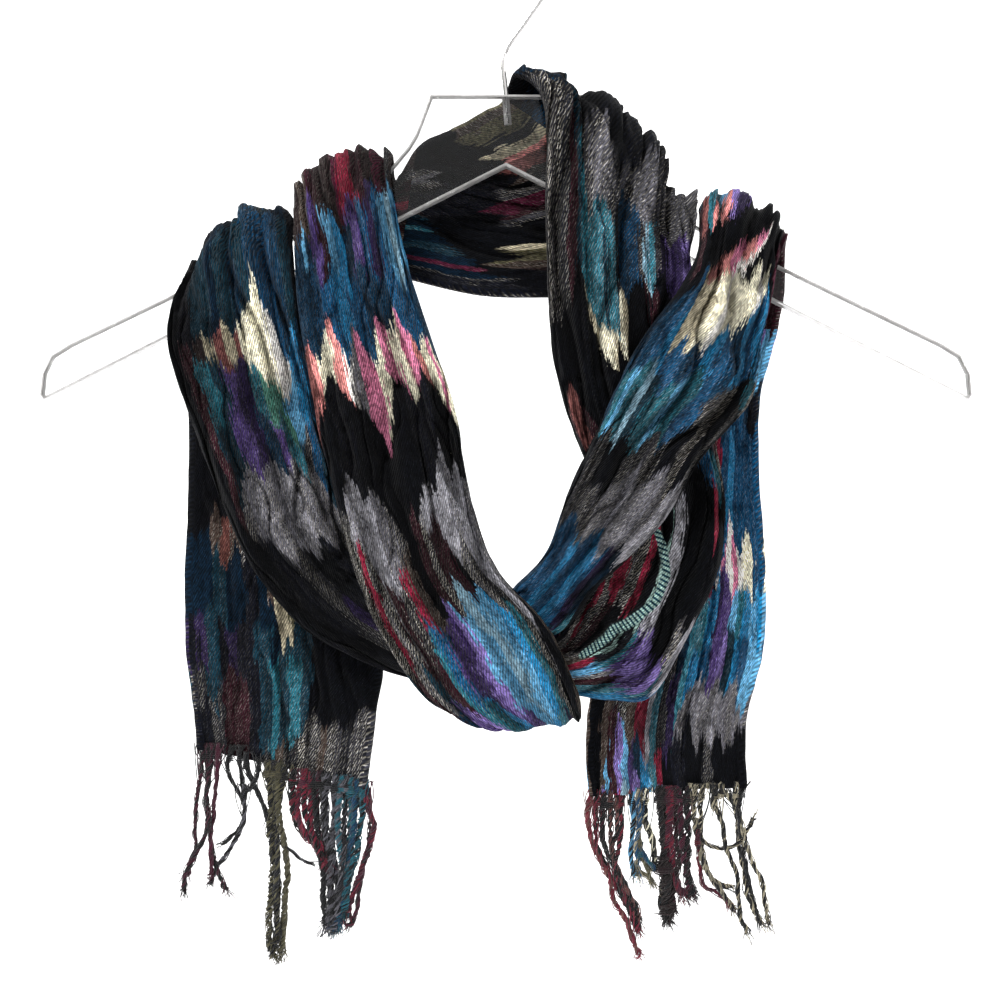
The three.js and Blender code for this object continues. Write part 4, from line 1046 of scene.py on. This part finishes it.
class Route:
    """The cloth's surface along one run of rows: s counts the rows, u runs across a section."""

    def __init__(self, rows, pleats, welts, seed):
        left, right, crown, tuck = (np.array(values, float) for values in zip(*rows))
        self.left, self.right = left, right
        self.crown, self.tuck = crown[:, None], tuck[:, None]
        self.pleats, self.welts, self.seed = pleats, welts, seed
        self.last = len(rows) - 1
        self.fine = np.linspace(0, self.last, self.last * 60 + 1)
        self.run = run_along(self.middle(self.fine))

    def middle(self, s):
        return (catmull_rom(self.left, s) + catmull_rom(self.right, s)) / 2

    def along(self, s):
        """Millimetres along the route's middle from its first row."""
        return np.interp(s, self.fine, self.run)

    def stations(self, start, end):
        first, final = self.along(start), self.along(end)
        count = max(2, round((final - first) / ROW_STEP))
        return np.interp(np.linspace(first, final, count + 1), self.run, self.fine)

    def pleat_depth(self, s, u):
        depth = np.zeros((len(s), len(u)))
        for number, (first, last, at, end, deep, wide) in enumerate(self.pleats):
            share = (s - first) / (last - first)
            fade = np.clip(np.minimum(4 * share, 4 * (1 - share)), 0, 1)
            centre = at + (end - at) * share
            centre = centre + 0.012 * noise(self.along(s) / 28, number + 0.5, self.seed + 3)
            trough = np.exp(-np.abs((u - centre[:, None]) / wide) ** 1.6)
            depth += deep * fade[:, None] * trough
        return depth

    def fold_depth(self, s, place, seed):
        """The fine folds: round ridges, and sharp creases where slow noise crosses zero."""
        run = self.along(s)[:, None]
        depth = np.zeros(place.shape)
        for fold in FOLDS:
            a, b = place / fold["wide"], run / fold["long"]
            bend = 0.7 * noise(a / 2, b * 1.7, seed + fold["seed"] + 1)
            wave = noise(a + bend, b, seed + fold["seed"])
            depth += fold["depth"] * (np.maximum(1 - np.abs(wave) / 0.36, 0) ** 1.3 - 0.12)
        return depth

    def welt(self, s, u):
        """Where a selvage stands up from the cloth, from 0 to 1."""
        welt = np.zeros((len(s), len(u)))
        for path, wide, tall in self.welts:
            rows, centres = np.array(chart(path), float).T
            centre = np.interp(s, rows, centres)[:, None]
            fade = np.clip(np.minimum(s - rows[0], rows[-1] - s) * 3, 0, 1)[:, None]
            welt = np.maximum(welt, tall * fade * np.clip(1 - ((u - centre) / wide) ** 2, 0, 1))
        return welt

    def front(self, s, width, crown, tuck):
        """The front of the sections at s: at each column its place from the left edge and its
        height, how deep its fold is, and whether a selvage stands up there."""
        u, run = FRONT_SHARES, self.along(s)
        turned = np.maximum(np.maximum(RIM - u, u - (1 - RIM)), 0) / RIM
        angle = across_angle(u)
        inward = (tuck + SKIN) * (1 - np.cos(turned * np.pi / 2))
        place = width * (0.5 + 0.5 * np.sin(angle)) + SKIN * np.sin(angle)
        place = place + np.where(u < 0.5, inward, -inward)
        arch = np.maximum(np.cos(angle), 0) ** FULLNESS
        loose = np.clip(arch * (crown + SKIN) / LOOSE, 0, 1)
        girth = width * 1.1 + crown * 0.9
        lowered = self.pleat_depth(s, u) + self.fold_depth(s, (u - 0.5) * girth, self.seed)
        welt = self.welt(s, u)
        lowered = loose * (lowered * (1 - 0.7 * welt) - WELT_HEIGHT * welt)
        height = (crown + SKIN) * arch - lowered - tuck * np.sin(turned * np.pi / 2)

        # The edges wander a little, as soft folds do.
        for side, sign in ((u < 0.5, -1), (u >= 0.5, 1)):
            wander = 0.7 * noise(run / 17, 0.5, self.seed + 61 + sign)
            wander = wander + 0.4 * noise(run / 6, 0.5, self.seed + 71 + sign) + 0.5
            edge = np.exp(-((u if sign < 0 else 1 - u) / 0.13) ** 2)
            place = place + np.where(side, sign * wander[:, None] * edge, 0)
        return place, height, lowered, welt

    def surface(self, s, stretch):
        """The points of the sections at s, and at each column its share across from the left edge
        and its place across the cloth, and at each point how deep its fold is and whether a
        selvage stands up there."""
        left = catmull_rom(self.left, s)
        across = catmull_rom(self.right, s) - left
        width = np.linalg.norm(across, axis=1)[:, None]
        out = unit(np.cross(self.middle(s + 0.02) - self.middle(s - 0.02), across))
        across = across / width
        crown, tuck = catmull_rom(self.crown, s), catmull_rom(self.tuck, s)
        place, front, lowered, welt = self.front(s, width, crown, tuck)

        # The back runs on from the front's right edge to its left one, as v goes from 0 to 1.
        if stretch["laps"]:
            under = np.linspace(LAP[0], 1, LAP_COLUMNS + 1)[:-1]
            over = np.linspace(0, LAP[1], LAP_COLUMNS + 1)[1:]
        else:
            under, over = np.zeros(0), np.linspace(0, 1, BACK_COLUMNS + 2)[1:-1]
        v, split = np.concatenate([under, over]), len(under)
        sinking = np.clip((LAP[1] + TUCKED[0] - v) / TUCKED[0], 0, 1)
        sunk = np.where(np.arange(len(v)) < split, sinking, 0)
        back_place = place[:, -1:] + (place[:, :1] - place[:, -1:]) * v
        depth = np.sin(np.pi * v) ** 0.7
        creases = self.fold_depth(s, back_place, self.seed + 81)
        creases = np.clip(creases, -0.6, 9) * depth * 0.8
        back = -tuck + np.maximum(crown + SKIN - BUNDLE, 0) * depth + creases
        above = [np.interp(b, p, f) for b, p, f in zip(back_place, place, front)]
        above = np.stack(above) - LAYER
        back = np.minimum(back + TUCKED[1] * sunk, above)
        if "cut_end" in stretch:
            off = np.abs(self.along(s) - self.along(stretch["cut_end"])) / PINCH
            back += np.exp(-off ** 2)[:, None] * (above - back)

        def join(back, front):
            return np.concatenate([back[..., :split], front, back[..., split:]], axis=-1)

        places, heights = join(back_place, place)[..., None], join(back, front)[..., None]
        points = left[:, None] + places * across[:, None] + heights * out[:, None]
        threads = [v[:split] - 1.5, np.linspace(-0.5, 0.5, len(FRONT_SHARES)), v[split:] + 0.5]
        threads = np.concatenate(threads) * WOVEN
        shares = join(1 - v, FRONT_SHARES)
        return points, shares, threads, join(creases, lowered), join(0 * creases, welt)


def add_cloth(route, stretch, end):
    """One stretch of the scarf, as a fine skin over its solid."""
    name, start = stretch["node"], stretch["start"]
    s = route.stations(start, end)
    points, shares, threads, creases, welt = route.surface(s, stretch)
    rows, columns = points.shape[:2]
    wide = columns
    if not stretch["laps"]:
        # The last column meets the first one again.
        wide += 1
        shares = np.append(shares, shares[0])
        threads = np.append(threads, threads[-1] + WOVEN / 50)
    i, j = np.meshgrid(np.arange(rows - 1), np.arange(wide - 1), indexing="ij")
    corners = [(i, j), (i + 1, j), (i + 1, j + 1), (i, j + 1)]
    faces = np.stack([a * columns + b % columns for a, b in corners], axis=-1).reshape(-1, 4)
    mesh = mesh_from(name + "_cloth", points.reshape(-1, 3), faces)

    def fill(data, key, values):
        """Values by row and column, one set for each corner of each face."""
        values = np.broadcast_arrays(*values)
        by_corner = [np.stack([v[a, b] for a, b in corners], axis=-1).reshape(-1) for v in values]
        data.foreach_set(key, np.stack(by_corner, axis=-1).reshape(-1))

    run = (route.along(s) - route.along(start))[:, None]
    weave = mesh.attributes.new("weave", "FLOAT_VECTOR", "CORNER")
    fill(weave.data, "vector", (threads, run, shares))
    # The crease attribute holds the fold depth, from which the material paints shade into the
    # creases and a highlight onto the ridges.
    for key, values in (("crease", creases), ("welt", welt)):
        mesh.attributes.new(key, "FLOAT", "POINT").data.foreach_set("value", values.reshape(-1))
    fill(mesh.uv_layers.new(name="OFBake").data, "uv", (np.linspace(0, 1, wide), run / run[-1]))

    mesh.materials.append(cloth_material(name, route, start))
    cloth = piece(name + "_cloth", mesh, name)


# ---- Building it all ------------------------------------------------------------------------

from_left = Route(ROWS_FROM_LEFT, PLEATS_FROM_LEFT, WELTS_FROM_LEFT, seed=100)
to_right = Route(ROWS_TO_RIGHT, PLEATS_TO_RIGHT, [], seed=200)

add_camera()
add_lamps()
add_backdrop()
dress_hanger()
hanks = add_fringe()
for route, stretches in ((from_left, STRETCHES_FROM_LEFT), (to_right, STRETCHES_TO_RIGHT)):
    ends = [stretch["start"] for stretch in stretches[1:]] + [route.last]
    for stretch, end in zip(stretches, ends):
        add_cloth(route, stretch, end)
